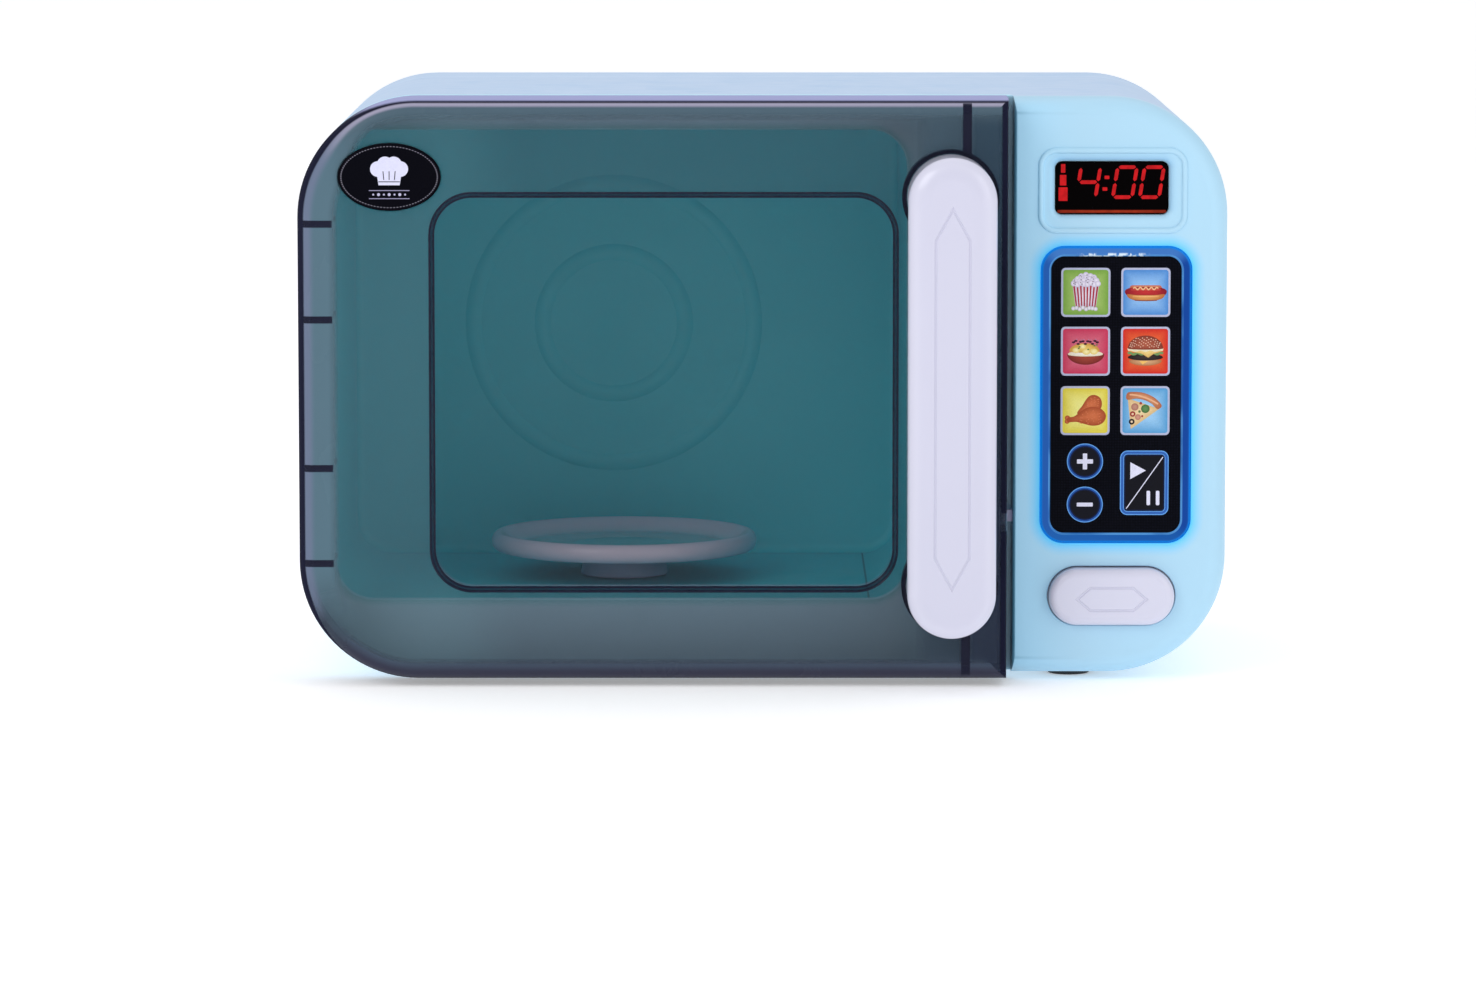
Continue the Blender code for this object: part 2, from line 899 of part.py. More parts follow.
def liner_ear_places():
    """Where the oven liner is screwed down: two places under it and two beside it."""
    under = oven_floor - liner_wall - liner_ear_length
    beside = oven_right + liner_wall + liner_ear_length
    sides = (oven_left + liner_bottom_ear_inset, oven_right - liner_bottom_ear_inset)
    heights = (liner_side_ear_low, body_height - liner_side_ear_drop)
    return [(x, under) for x in sides] + [(beside, z) for z in heights]


def liner_bosses():
    start = frame_back - weld_depth
    end = frame_back + liner_boss_length
    return [rod("boss", "Y", place, liner_boss_radius, start, end) for place in liner_ear_places()]


def liner_boss_holes():
    end = frame_back + liner_boss_length
    start = end - liner_screw_length - fit_gap
    radius = screw_radius + fit_gap
    return [rod("hole", "Y", place, radius, start, end + cut_overrun) for place in liner_ear_places()]


def pivot_boss():
    place = (turntable_x, turntable_depth)
    return rod("pivot_boss", "Z", place, pivot_boss_radius, shell_wall - weld_depth, pivot_boss_top)


def pivot_hole():
    place = (turntable_x, turntable_depth)
    radius = journal_radius + fit_gap
    return rod("pivot_hole", "Z", place, radius, shell_wall + fit_gap, pivot_boss_top + cut_overrun)


def foot_places():
    return [(side * foot_spread, depth) for depth in (foot_front_depth, foot_rear_depth) for side in (-1, 1)]


def foot_holes():
    radius = foot_plug_radius + fit_gap
    end = shell_wall + cut_overrun
    return [rod("hole", "Z", place, radius, -cut_overrun, end) for place in foot_places()]


def make_front_housing():
    pairs = levels(0, parting_depth, front_edge_fillet, parting_chamfer)
    housing = block("front_housing", body_section(), "Y", pairs)
    cut(housing, *frame_cuts())
    bead = rounded(bead_centre, bead_width, bead_height, bead_corner)
    join(housing, outline_ridge("bead", bead, bead_line, -bead_proud, weld_depth))
    join(housing, *(hinge_lug(height) for height in hinge_heights))
    join(housing, button_collar(), *latch_bracket(), *board_posts())
    join(housing, *front_bosses(), *liner_bosses(), pivot_boss())
    cut(housing, *panel_openings(), *(hinge_bore(height) for height in hinge_heights), latch_pin_holes())
    cut(housing, *front_boss_holes(), *liner_boss_holes(), pivot_hole(), *foot_holes())
    return housing


# Door

def door_section(wall=0):
    return body_section(wall, right=door_right - wall)


def hinge_corner_cutter():
    """Rounds the door's back edge at the hinge, so that the door turns without touching the frame."""
    radius = hinge_ahead_of_seat - fit_gap
    round_edge = arc((hinge_x, hinge_y), radius, 90, 150, small_corner_steps * 2)
    outside = -body_side - cut_overrun
    beyond = door_back + cut_overrun
    corners = [(hinge_x, beyond)] + round_edge + [(outside, round_edge[-1][1]), (outside, beyond)]
    return block("hinge_corner", fixed(corners), "Z", [(0, -cut_overrun), (0, body_height + cut_overrun)])


def hinge_rib(height):
    left = -body_side + door_wall - weld_depth
    right = -body_side + hinge_rib_length
    front = door_inside - weld_depth
    back = hinge_y + hinge_rib_back
    bevel = hinge_pin_radius
    corners = [(left, front), (right, front), (right, back - bevel), (right - bevel, back), (left, back)]
    half = hinge_rib_thickness / 2
    return block("hinge_rib", fixed(corners), "Z", [(0, height - half), (0, height + half)])


def hinge_notch(middle):
    """The gap in the door's side wall that a lug of the housing stands in."""
    half = hinge_lug_height / 2 + running_gap
    outside = -body_side - cut_overrun
    front = hinge_y - hinge_lug_radius - fit_gap
    return box("notch", (outside, hinge_x), (front, door_back + cut_overrun), (middle - half, middle + half))


def make_door_shell():
    door = block("door_shell", door_section(), "Y", levels(door_front, door_back, door_edge_fillet, 0))
    hollow = levels(door_inside, door_back + cut_overrun, door_edge_fillet - door_wall, 0)
    cut(door, block("hollow", door_section(door_wall), "Y", hollow))
    ribs = [middle + side * hinge_rib_spacing / 2 for middle in hinge_heights for side in (-1, 1)]
    join(door, *(hinge_rib(height) for height in ribs))
    half = upright_rib_thickness / 2
    upright = box(
        "upright_rib",
        (upright_rib_x - half, upright_rib_x + half),
        (door_inside - weld_depth, door_inside + upright_rib_depth),
        (door_wall - weld_depth, body_height - door_wall + weld_depth),
    )
    boss_end = door_inside + handle_boss_height
    bosses = [
        rod("boss", "Y", (handle_centre[0], height), handle_boss_radius, door_inside - weld_depth, boss_end)
        for height in handle_foot_heights
    ]
    join(door, upright, *bosses)
    window = rounded(window_centre, window_width, window_height, window_corner, body_corner_steps)
    step_floor = door_front + window_step_depth
    step = [(0, door_front - cut_overrun), (0, door_front), (window_step_width, step_floor)]
    seats = [
        rod(
            "seat",
            "Y",
            (handle_centre[0], height),
            handle_seat_radius,
            door_front - cut_overrun,
            door_front + handle_seat_depth,
            round_steps,
        )
        for height in handle_foot_heights
    ]
    holes = [
        rod(
            "hole",
            "Y",
            (handle_centre[0], height),
            screw_radius + fit_gap,
            door_front - cut_overrun,
            boss_end + cut_overrun,
        )
        for height in handle_foot_heights
    ]
    cut(door, block("window", window, "Y", step), *seats, *holes, *badge_cuts())
    slot_front = nose_seat - nose_depth / 2 - nose_slot_gap
    nose_notch = box(
        "nose_notch",
        (door_right - door_wall - cut_overrun, door_right + cut_overrun),
        (slot_front, door_back + cut_overrun),
        (nose_height - notch_height / 2, nose_height + notch_height / 2),
    )
    cut(door, nose_notch, hinge_corner_cutter(), *(hinge_notch(height) for height in hinge_heights))
    return cut(door, *(hinge_bore(height) for height in hinge_heights))


def badge_pegs(radius, start, end):
    half = badge_peg_spacing / 2
    places = [(badge_centre[0] + side * half, badge_centre[1]) for side in (-1, 1)]
    return [rod("peg", "Y", place, radius, start, end) for place in places]


def badge_cuts():
    seat = oval(badge_centre, badge_width + 2 * fit_gap, badge_height + 2 * fit_gap)
    floor = door_front + badge_seat_depth
    holes = badge_pegs(badge_peg_radius + fit_gap, door_front, door_inside + cut_overrun)
    return [block("badge_seat", seat, "Y", [(0, door_front - cut_overrun), (0, floor)])] + holes


def make_door_badge():
    back = door_front + badge_seat_depth - fit_gap
    outline = oval(badge_centre, badge_width, badge_height)
    badge = block("door_badge", outline, "Y", levels(back - badge_thickness, back, badge_edge))
    return join(badge, *badge_pegs(badge_peg_radius, back - weld_depth, door_inside))


def make_door_handle():
    """A crowned bar on two round feet, with a fine line round a long hexagon."""
    bar = pill(handle_centre, handle_width, handle_length)
    widest = handle_crest + handle_crown
    front = [
        (handle_crown_width * (1 - math.cos(a)), widest - handle_crown * math.sin(a))
        for a in (math.pi / 2 * step / fillet_steps for step in range(fillet_steps, -1, -1))
    ]
    back = levels(widest, handle_bar_back, 0, handle_back_fillet)[1:]
    handle = block("door_handle", bar, "Y", front + back)
    foot_back = door_front + handle_seat_depth - fit_gap
    feet = [
        rod(
            "foot",
            "Y",
            (handle_centre[0], height),
            handle_foot_radius,
            handle_bar_back - handle_back_fillet - weld_depth,
            foot_back,
            round_steps,
        )
        for height in handle_foot_heights
    ]
    join(handle, *feet)
    mark = hexagon_mark(handle_centre, handle_mark_length, handle_mark_half_width, handle_mark_shoulder, True)
    groove_floor = handle_crest + mark_line_depth
    groove = mark_groove("groove", mark, handle_centre, handle_crest - cut_overrun, groove_floor)
    seat = door_inside + handle_boss_height + fit_gap
    holes = [
        rod(
            "hole",
            "Y",
            (handle_centre[0], height),
            screw_radius + fit_gap,
            seat - handle_screw_length - fit_gap,
            foot_back + cut_overrun,
        )
        for height in handle_foot_heights
    ]
    return cut(handle, groove, *holes)


def make_handle_screws():
    seat = door_inside + handle_boss_height + fit_gap
    names = ("handle_screw_lower", "handle_screw_upper")
    places = [(handle_centre[0], height) for height in handle_foot_heights]
    return [screw(name, place, seat, handle_screw_length, -1) for name, place in zip(names, places)]


def make_hinge_pins():
    half = (hinge_rib_spacing + hinge_rib_thickness) / 2
    return [
        rod(name, "Z", (hinge_x, hinge_y), hinge_pin_radius, middle - half, middle + half)
        for name, middle in zip(("hinge_pin_lower", "hinge_pin_upper"), hinge_heights)
    ]


# Release button and latch

def make_release_button():
    """A hollow cap with a flange behind the panel and a stem that pushes the latch lever."""
    cap = pill(button_centre, button_width, button_height)
    flange_start = shell_wall + fit_gap
    flange_end = flange_start + button_flange_thickness
    button = block("release_button", cap, "Y", levels(-button_proud, flange_end, button_edge_fillet, 0))
    flange = pill(button_centre, button_width + 2 * button_flange, button_height + 2 * button_flange)
    join(button, block("flange", flange, "Y", [(0, flange_start), (0, flange_end)]))
    hollow = levels(button_wall - button_proud, flange_end + cut_overrun)
    inner = pill(button_centre, button_width - 2 * button_wall, button_height - 2 * button_wall)
    cut(button, block("hollow", inner, "Y", hollow))
    root = button_wall - button_proud - weld_depth
    tip = lever_axis_y - fit_gap
    profile = [(0, root), (stem_radius, root)]
    for angle in (0, 30, 60):
        across = stem_radius * math.cos(math.radians(angle))
        profile.append((across, tip - stem_radius * (1 - math.sin(math.radians(angle)))))
    profile.append((0, tip))
    join(button, turned("stem", profile, "Y", (stem_x, button_centre[1]), small_round_steps))
    half_height = button_mark_half_height
    mark = hexagon_mark(button_centre, button_mark_length, half_height, button_mark_shoulder, False)
    front = -button_proud
    groove = mark_groove("groove", mark, button_centre, front - cut_overrun, front + mark_line_depth)
    return cut(button, groove)


def make_latch_lever():
    """A tube on the pivot pin, one arm that the button pushes, and one that ends in the nose."""
    pivot = (lever_axis_x, lever_axis_y)
    lever = rod("latch_lever", "Z", pivot, lever_tube_radius, lever_low, lever_high)
    half_arm = lever_arm_thickness / 2
    nose_tip = door_right - nose_reach
    front = nose_seat - nose_depth / 2
    back = nose_seat + nose_depth / 2
    nose = [
        (nose_tip, back),
        (nose_tip, front + nose_ramp),
        (nose_tip + nose_ramp, front),
        (lever_axis_x + half_arm, front),
        (lever_axis_x + half_arm, lever_axis_y),
        (lever_axis_x - half_arm, lever_axis_y),
        (lever_axis_x - half_arm, back),
    ]
    nose_low = nose_height - nose_thickness / 2
    push_end = stem_x + stem_radius + lever_push_thickness / 2
    push = [
        (lever_axis_x, lever_axis_y),
        (push_end, lever_axis_y),
        (push_end, lever_axis_y + lever_push_thickness),
        (lever_axis_x, lever_axis_y + lever_tube_radius),
    ]
    push_low = button_centre[1] - lever_push_height / 2
    join(
        lever,
        block("nose", fixed(nose), "Z", [(0, nose_low), (0, nose_low + nose_thickness)]),
        block("push_arm", fixed(push), "Z", [(0, push_low), (0, push_low + lever_push_height)]),
    )
    radius = lever_pin_radius + fit_gap
    return cut(lever, rod("bore", "Z", pivot, radius, lever_low - cut_overrun, lever_high + cut_overrun))


def make_latch_pin():
    seat = bracket_high + bracket_thickness + fit_gap
    profile = [
        (0, bracket_low),
        (lever_pin_radius, bracket_low),
        (lever_pin_radius, seat),
        (lever_pin_head_radius, seat),
        (lever_pin_head_radius, seat + lever_pin_head_height),
        (0, seat + lever_pin_head_height),
    ]
    return turned("latch_pin", profile, "Z", (lever_axis_x, lever_axis_y), small_round_steps)


def make_latch_spring():
    place = (stem_x, button_centre[1])
    end = spring_start + spring_length
    return helix("latch_spring", place, spring_start, end, spring_radius, spring_wire_radius, spring_turns)


# Display, touch field and boards

def make_display_lens():
    """A dark pane with a flange behind the panel."""
    back = lens_back
    front = shell_wall + fit_gap
    flange = rounded(
        display_centre,
        display_width + 2 * lens_flange,
        display_height + 2 * lens_flange,
        display_corner + lens_flange,
    )
    lens = block("display_lens", flange, "Y", [(0, front), (0, back)])
    pane = rounded(
        display_centre,
        display_width - 2 * fit_gap,
        display_height - 2 * fit_gap,
        display_corner - fit_gap,
    )
    return join(lens, block("pane", pane, "Y", [(0, display_recess), (0, front + weld_depth)]))


def make_display_module():
    x, z = display_centre
    half_width = display_width / 2
    half_height = display_height / 2
    front = lens_back + fit_gap
    return box(
        "display_module",
        (x - half_width, x + half_width),
        (front, front + module_depth),
        (z - half_height, z + half_height),
    )


def make_light_ring():
    """A light guide: its face shows round the touch overlay, its flange and its ledge lie behind."""
    face = rounded(touch_centre, ring_width, ring_height, ring_corner)
    inner = rounded(
        touch_centre,
        ring_width - 2 * ring_line,
        ring_height - 2 * ring_line,
        ring_corner - ring_line / 2,
    )
    flange = rounded(
        touch_centre,
        ring_width + 2 * ring_flange,
        ring_height + 2 * ring_flange,
        ring_corner + ring_flange,
    )
    flange_front = shell_wall + fit_gap
    ring = block("light_ring", face, "Y", [(0, -ring_proud), (0, ring_back - weld_depth)])
    join(ring, block("flange", flange, "Y", [(0, flange_front), (0, ring_back)]))
    cut(
        ring,
        block("window", inner, "Y", [(0, -ring_proud - cut_overrun), (0, ring_ledge_depth)]),
        block("ledge", inner, "Y", [(ring_flange, 0), (ring_flange, ring_back + cut_overrun)]),
    )
    return ring


def make_touch_overlay():
    outline = rounded(
        touch_centre,
        ring_width - 2 * ring_line - 2 * fit_gap,
        ring_height - 2 * ring_line - 2 * fit_gap,
        ring_corner - ring_line / 2 - fit_gap,
    )
    return block("touch_overlay", outline, "Y", [(0, -overlay_proud), (0, ring_ledge_depth - fit_gap)])


def make_touch_board():
    """The board behind the light ring, with a notch that the latch lever moves in."""
    width = ring_width + 2 * touch_board_margin
    height = ring_height + 2 * touch_board_margin
    front = ring_back + fit_gap
    outline = rounded(touch_centre, width, height, touch_board_margin * 2, 2)
    board = block("touch_board", outline, "Y", [(0, front), (0, front + board_thickness)])
    left = touch_centre[0] - width / 2
    half = board_notch_height / 2
    notch = box(
        "notch",
        (left - cut_overrun, left + board_notch_width),
        (front - cut_overrun, front + board_thickness + cut_overrun),
        (nose_height - half, nose_height + half),
    )
    return cut(board, notch)


def make_main_board():
    """The board that carries the display, with a few parts on its back."""
    back = main_board_front + board_thickness
    board = box(
        "main_board",
        (main_board_left, main_board_right),
        (main_board_front, back),
        (main_board_bottom, main_board_top),
    )
    middle = (main_board_left + main_board_right) / 2
    low = main_board_bottom + chip_size
    chip = box(
        "chip",
        (middle - chip_size / 2, middle + chip_size / 2),
        (back - weld_depth, back + chip_height),
        (low, low + chip_size),
    )
    cans = [
        rod(
            "capacitor",
            "Y",
            (middle + side * capacitor_spacing, low + chip_size),
            capacitor_radius,
            back - weld_depth,
            back + capacitor_length,
        )
        for side in (-1, 1)
    ]
    join(board, chip, *cans)
    holes = [
        rod("hole", "Y", place, screw_radius, main_board_front - cut_overrun, back + cut_overrun)
        for place in post_places()
    ]
    return cut(board, *holes)


# Oven and turntable

def liner_ear(place):
    x, z = place
    start = frame_back + liner_boss_length + fit_gap
    end = start + liner_flange_thickness
    half = liner_ear_half
    if z < oven_floor:
        root = oven_floor - liner_wall + weld_depth
        return box("ear", (x - half, x + half), (start, end), (z - half, root))
    wall = oven_right + liner_wall - weld_depth
    return box("ear", (wall, x + half), (start, end), (z - half, z + half))


def back_ring(radius):
    """A raised bead on the oven's back wall."""
    centre = (oven_centre[0] + back_ring_shift[0], oven_centre[1] + back_ring_shift[1])
    half = back_ring_width / 2
    top = oven_depth - back_ring_height
    profile = [
        (radius - half, oven_depth + weld_depth),
        (radius - half / 2, top),
        (radius + half / 2, top),
        (radius + half, oven_depth + weld_depth),
    ]
    return turned("back_ring", profile, "Y", centre, round_steps, ring=True)


def make_cavity_liner():
    """One moulded tub: five walls, a flange behind the frame, four ears and a bush for the drive shaft."""
    outer = rounded(
        oven_centre,
        oven_width + 2 * liner_wall,
        oven_height + 2 * liner_wall,
        oven_corner + liner_wall,
        body_corner_steps,
    )
    inner = rounded(oven_centre, oven_width, oven_height, oven_corner, body_corner_steps)
    outer_back = oven_depth + liner_wall
    liner = block("cavity_liner", outer, "Y", levels(liner_front, outer_back, 0, oven_back_fillet))
    flange = rounded(
        oven_centre,
        oven_width + 2 * (liner_wall + liner_flange),
        oven_height + 2 * (liner_wall + liner_flange),
        liner_flange_corner,
        body_corner_steps,
    )
    join(liner, block("flange", flange, "Y", [(0, liner_front), (0, liner_front + liner_flange_thickness)]))
    join(liner, *(liner_ear(place) for place in liner_ear_places()))
    hub = (turntable_x, turntable_depth)
    floor = oven_floor - liner_wall
    join(liner, rod("bush", "Z", hub, bush_radius, floor - bush_length, floor + weld_depth, round_steps // 2))
    hollow = levels(liner_front - cut_overrun, oven_depth, 0, oven_back_fillet)
    cut(liner, block("inside", inner, "Y", hollow))
    join(liner, *(back_ring(radius) for radius in back_ring_radii))
    bush_low = floor - bush_length - cut_overrun
    shaft_hole = rod("shaft_hole", "Z", hub, shaft_radius + fit_gap, bush_low, oven_floor + cut_overrun)
    ear_back = liner_front + liner_boss_length + 2 * liner_flange_thickness
    radius = screw_radius + fit_gap
    ear_holes = [rod("hole", "Y", place, radius, liner_front, ear_back) for place in liner_ear_places()]
    return cut(liner, shaft_hole, *ear_holes)


def make_liner_screws():
    seat = frame_back + liner_boss_length + liner_flange_thickness + 2 * fit_gap
    length = liner_screw_length + liner_flange_thickness - fit_gap
    return [
        screw(f"liner_screw_{number}", place, seat, length, -1)
        for number, place in enumerate(liner_ear_places(), 1)
    ]


def make_turntable_plate():
    """A shallow dish with a rolled rim, and a socket under it for the hub's peg."""
    rim = (plate_radius - plate_rim_radius, plate_rim_top - plate_rim_radius)
    top = plate_bottom + plate_thickness
    roll = arc(rim, plate_rim_radius, -60, 180, 6)
    profile = (
        [(0, plate_bottom), (plate_flat_radius, plate_bottom)]
        + [(rim[0] - plate_rim_radius * 2, plate_bottom + plate_thickness * plate_shoulder_share)]
        + roll
        + [(rim[0] - plate_rim_radius, rim[1] - plate_rim_radius), (plate_flat_radius, top), (0, top)]
    )
    plate = turned("turntable_plate", profile, "Z", (turntable_x, turntable_depth), round_steps)
    socket = rod(
        "socket",
        "Z",
        (turntable_x, turntable_depth),
        hub_peg_radius + fit_gap,
        plate_bottom - cut_overrun,
        plate_bottom + hub_peg_height,
        round_steps,
    )
    return cut(plate, socket)


def drive_hexagon(name, clearance, low, high):
    radius = (drive_hex + clearance) / math.cos(math.pi / 6)
    outline = fixed(circle((turntable_x, turntable_depth), radius, 6))
    return block(name, outline, "Z", [(0, low), (0, high)])


def make_turntable_hub():
    low = oven_floor + hub_lift
    top = plate_bottom - fit_gap
    profile = [
        (0, low),
        (hub_radius, low),
        (hub_radius, low + hub_peg_height),
        (hub_top_radius, top),
        (hub_peg_radius, top),
        (hub_peg_radius, top + hub_peg_height),
        (0, top + hub_peg_height),
    ]
    hub = turned("turntable_hub", profile, "Z", (turntable_x, turntable_depth), round_steps)
    return cut(hub, drive_hexagon("socket", fit_gap, low - cut_overrun, top - hub_peg_height + fit_gap))


def gear_recess(centre, radius, low, high):
    """The shallow ring that thins a gear's web."""
    profile = [
        (gear_hub_radius, low),
        (radius, low),
        (radius, high),
        (gear_hub_radius, high),
    ]
    return turned("recess", profile, "Z", centre, round_steps, ring=True)


def make_turntable_gear():
    """The large gear with its shaft, hexagonal where the hub sits and round where it turns in the liner."""
    centre = (turntable_x, turntable_depth)
    outline = fixed(gear_outline(centre, gear_teeth, 0))
    gear = block("turntable_gear", outline, "Z", [(0, gear_low), (0, gear_high)])
    web = gear_module * gear_teeth / 2 - gear_web_inset
    cut(gear, gear_recess(centre, web, gear_high - gear_web_recess, gear_high + cut_overrun))
    bush_low = oven_floor - liner_wall - bush_length
    hub_low = pivot_boss_top + fit_gap
    profile = [
        (0, shell_wall + 2 * fit_gap),
        (journal_radius, shell_wall + 2 * fit_gap),
        (journal_radius, hub_low),
        (gear_hub_radius, hub_low),
        (gear_hub_radius, bush_low - fit_gap),
        (shaft_radius, bush_low - fit_gap),
        (shaft_radius, oven_floor + 2 * weld_depth),
        (0, oven_floor + 2 * weld_depth),
    ]
    top = plate_bottom - hub_peg_height - fit_gap
    join(
        gear,
        turned("shaft", profile, "Z", centre, round_steps // 2),
        drive_hexagon("drive", 0, oven_floor + weld_depth, top),
    )
    return gear


def make_drive_pinion():
    """The pinion stands with a tooth gap towards the large gear's tooth."""
    centre = (pinion_x, turntable_depth)
    outline = fixed(gear_outline(centre, pinion_teeth, pinion_phase_share))
    pinion = block("drive_pinion", outline, "Z", [(0, gear_low), (0, gear_high)])
    low = shell_wall + fit_gap + gear_box_height / 2
    return join(pinion, rod("shaft", "Z", centre, pinion_shaft_radius, low, gear_low + weld_depth))


def make_gear_box():
    low = shell_wall + fit_gap
    high = low + gear_box_height
    left = pinion_x - gear_box_overhang
    centre = (left + gear_box_length / 2, turntable_depth)
    outline = rounded(centre, gear_box_length, gear_box_width, gear_box_corner, 3)
    case = block("gear_box", outline, "Z", [(0, low), (0, high)])
    radius = pinion_shaft_radius + fit_gap
    floor = low + gear_box_height / 2 - fit_gap
    return cut(case, rod("shaft_hole", "Z", (pinion_x, turntable_depth), radius, floor, high + cut_overrun))


def make_drive_motor():
    start = pinion_x - gear_box_overhang + gear_box_length + fit_gap
    height = shell_wall + fit_gap + motor_radius
    profile = [
        (0, start),
        (motor_radius, start),
        (motor_radius, start + motor_length),
        (motor_cap_radius, start + motor_length),
        (motor_cap_radius, start + motor_length + motor_cap_length),
        (0, start + motor_length + motor_cap_length),
    ]
    return turned("drive_motor", profile, "X", (turntable_depth, height), round_steps // 2)


# Rear cover and what it holds

def stepped_rod(name, place, steps):
    """A rod along Y in two widths: each step is a radius and the place where it starts, then the end."""
    (first, start), (second, change), end = steps
    profile = [(0, start), (first, start), (first, change), (second, change), (second, end), (0, end)]
    return turned(name, profile, "Y", place, small_round_steps)


def rear_bosses():
    """Screw bosses that widen towards the rear face, where the screw's head sinks in."""
    wide = counterbore_radius + counterbore_wall
    widening = screw_seat - counterbore_wall * 2
    end = rear_inside + weld_depth
    tools = []
    for place in rear_boss_places():
        tools.append(stepped_rod("boss", place, ((rear_boss_radius, cover_start), (wide, widening), end)))
        tools.append(rear_boss_web(place, cover_start, end))
    return tools


def rear_boss_holes():
    start = cover_start - cut_overrun
    end = body_depth + cut_overrun
    steps = ((screw_radius + fit_gap, start), (counterbore_radius, screw_seat), end)
    return [stepped_rod("hole", place, steps) for place in rear_boss_places()]


def cover_lip():
    """The tongue that reaches into the front housing, cut away at its screw bosses."""
    inset = shell_wall + fit_gap
    root = shell_wall - weld_depth
    start = parting_depth - lip_reach
    widening = cover_start + lip_root / 2
    end = cover_start + lip_root
    through = [(0, start - cut_overrun), (0, end + cut_overrun)]
    pairs = [(inset, start), (inset, widening), (root, widening), (root, end)]
    lip = block("lip", body_section(), "Y", pairs)
    cut(lip, block("inner", body_section(inset + lip_wall), "Y", through))
    gap = rear_boss_radius + running_gap
    room = []
    for place in rear_boss_places():
        x, z = place
        wall = 0 if z < body_height / 2 else body_height
        room.append(box("room", (x - gap, x + gap), (start - cut_overrun, cover_start), sorted((z, wall))))
    reach = liner_wall + running_gap
    liner_room = rounded(
        oven_centre,
        oven_width + 2 * reach,
        oven_height + 2 * reach,
        oven_corner + reach,
        body_corner_steps,
    )
    return cut(lip, *room, block("liner_room", liner_room, "Y", through))


def grille_slots():
    """Level slots in front of the loudspeaker, each as long as the grille's circle allows."""
    slots = []
    x, z = speaker_centre
    for row in range(grille_rows):
        rise = (row - (grille_rows - 1) / 2) * grille_pitch
        half_length = math.sqrt(grille_radius**2 - rise**2)
        half_height = grille_slot_height / 2
        slots.append(
            box(
                "grille",
                (x - half_length, x + half_length),
                (rear_inside - cut_overrun, body_depth + cut_overrun),
                (z + rise - half_height, z + rise + half_height),
            )
        )
    return slots


def speaker_ring():
    inner = speaker_radius + running_gap
    outer = inner + speaker_ring_wall
    start = rear_inside - speaker_ring_height
    end = rear_inside + weld_depth
    profile = [(inner, start), (outer, start), (outer, end), (inner, end)]
    return turned("speaker_ring", profile, "Y", speaker_centre, round_steps, ring=True)


def bay_cover_outline(margin):
    """The battery cover's outline: the bay with its margins, and longer at the top for the screw."""
    width = bay_cover_width + 2 * margin
    height = bay_cover_high - bay_cover_low + 2 * margin
    middle = (bay_centre[0], (bay_cover_low + bay_cover_high) / 2)
    return rounded(middle, width, height, bay_cover_corner + margin, 4)


def battery_bay():
    """The tray for the cells and the pad that the cover lies in."""
    half_width = bay_inner_width / 2 + bay_wall
    half_height = bay_inner_height / 2 + bay_wall
    x, z = bay_centre
    tray = box(
        "tray",
        (x - half_width, x + half_width),
        (bay_floor - bay_wall, rear_inside + weld_depth),
        (z - half_height, z + half_height),
    )
    pad_pairs = [(0, bay_cover_back - fit_gap - bay_wall), (0, rear_inside + weld_depth)]
    pad = block("pad", bay_cover_outline(fit_gap + bay_wall), "Y", pad_pairs)
    boss = rod(
        "boss",
        "Y",
        (x, bay_screw_z),
        bay_boss_radius,
        bay_cover_back - bay_screw_length - bay_wall,
        rear_inside,
    )
    return join(tray, pad, boss)


def battery_bay_cuts():
    x, z = bay_centre
    seat = bay_cover_back - fit_gap
    rebate = block("rebate", bay_cover_outline(fit_gap), "Y", [(0, seat), (0, body_depth + cut_overrun)])
    half_width = bay_inner_width / 2
    half_height = bay_inner_height / 2
    room = box(
        "room",
        (x - half_width, x + half_width),
        (bay_floor, body_depth + cut_overrun),
        (z - half_height, z + half_height),
    )
    hole = rod(
        "hole",
        "Y",
        (x, bay_screw_z),
        screw_radius + fit_gap,
        seat - bay_screw_length,
        body_depth + cut_overrun,
    )
    slots = []
    for side in (-1, 1):
        middle = x + side * bay_tab_spread
        half = bay_tab_width / 2 + running_gap
        slots.append(
            box(
                "tab_slot",
                (middle - half, middle + half),
                (bay_cover_back - bay_wall - running_gap, seat + weld_depth),
                (bay_cover_low - bay_tab_reach - running_gap, z),
            )
        )
    return [rebate, room, hole] + slots


def switch_cuts():
    x, z = switch_centre
    recess = rounded(switch_centre, switch_recess_width, switch_recess_height, switch_recess_corner)
    floor = body_depth - switch_recess_depth
    half_height = knob_height / 2 + running_gap
    left = x - knob_width / 2 - running_gap
    slot = box(
        "slot",
        (left - knob_travel / 2, left + knob_width + 2 * running_gap + knob_travel / 2),
        (rear_inside - cut_overrun, body_depth),
        (z - half_height, z + half_height),
    )
    return [block("recess", recess, "Y", [(0, floor), (0, body_depth + cut_overrun)]), slot]


def make_rear_cover():
    pairs = levels(cover_start, body_depth, parting_chamfer, rear_edge_fillet)
    cover = block("rear_cover", body_section(), "Y", pairs)
    inside = levels(cover_start - cut_overrun, rear_inside, 0, rear_edge_fillet - shell_wall)
    cut(cover, block("inside", body_section(shell_wall), "Y", inside))
    join(cover, cover_lip(), *rear_bosses())
    join(cover, speaker_ring(), battery_bay())
    cut(cover, *rear_boss_holes(), *battery_bay_cuts())
    return cut(cover, *switch_cuts(), *grille_slots())


def make_rear_screws():
    seat = screw_seat + fit_gap
    return [
        screw(f"rear_screw_{number}", place, seat, rear_screw_length, -1)
        for number, place in enumerate(rear_boss_places(), 1)
    ]


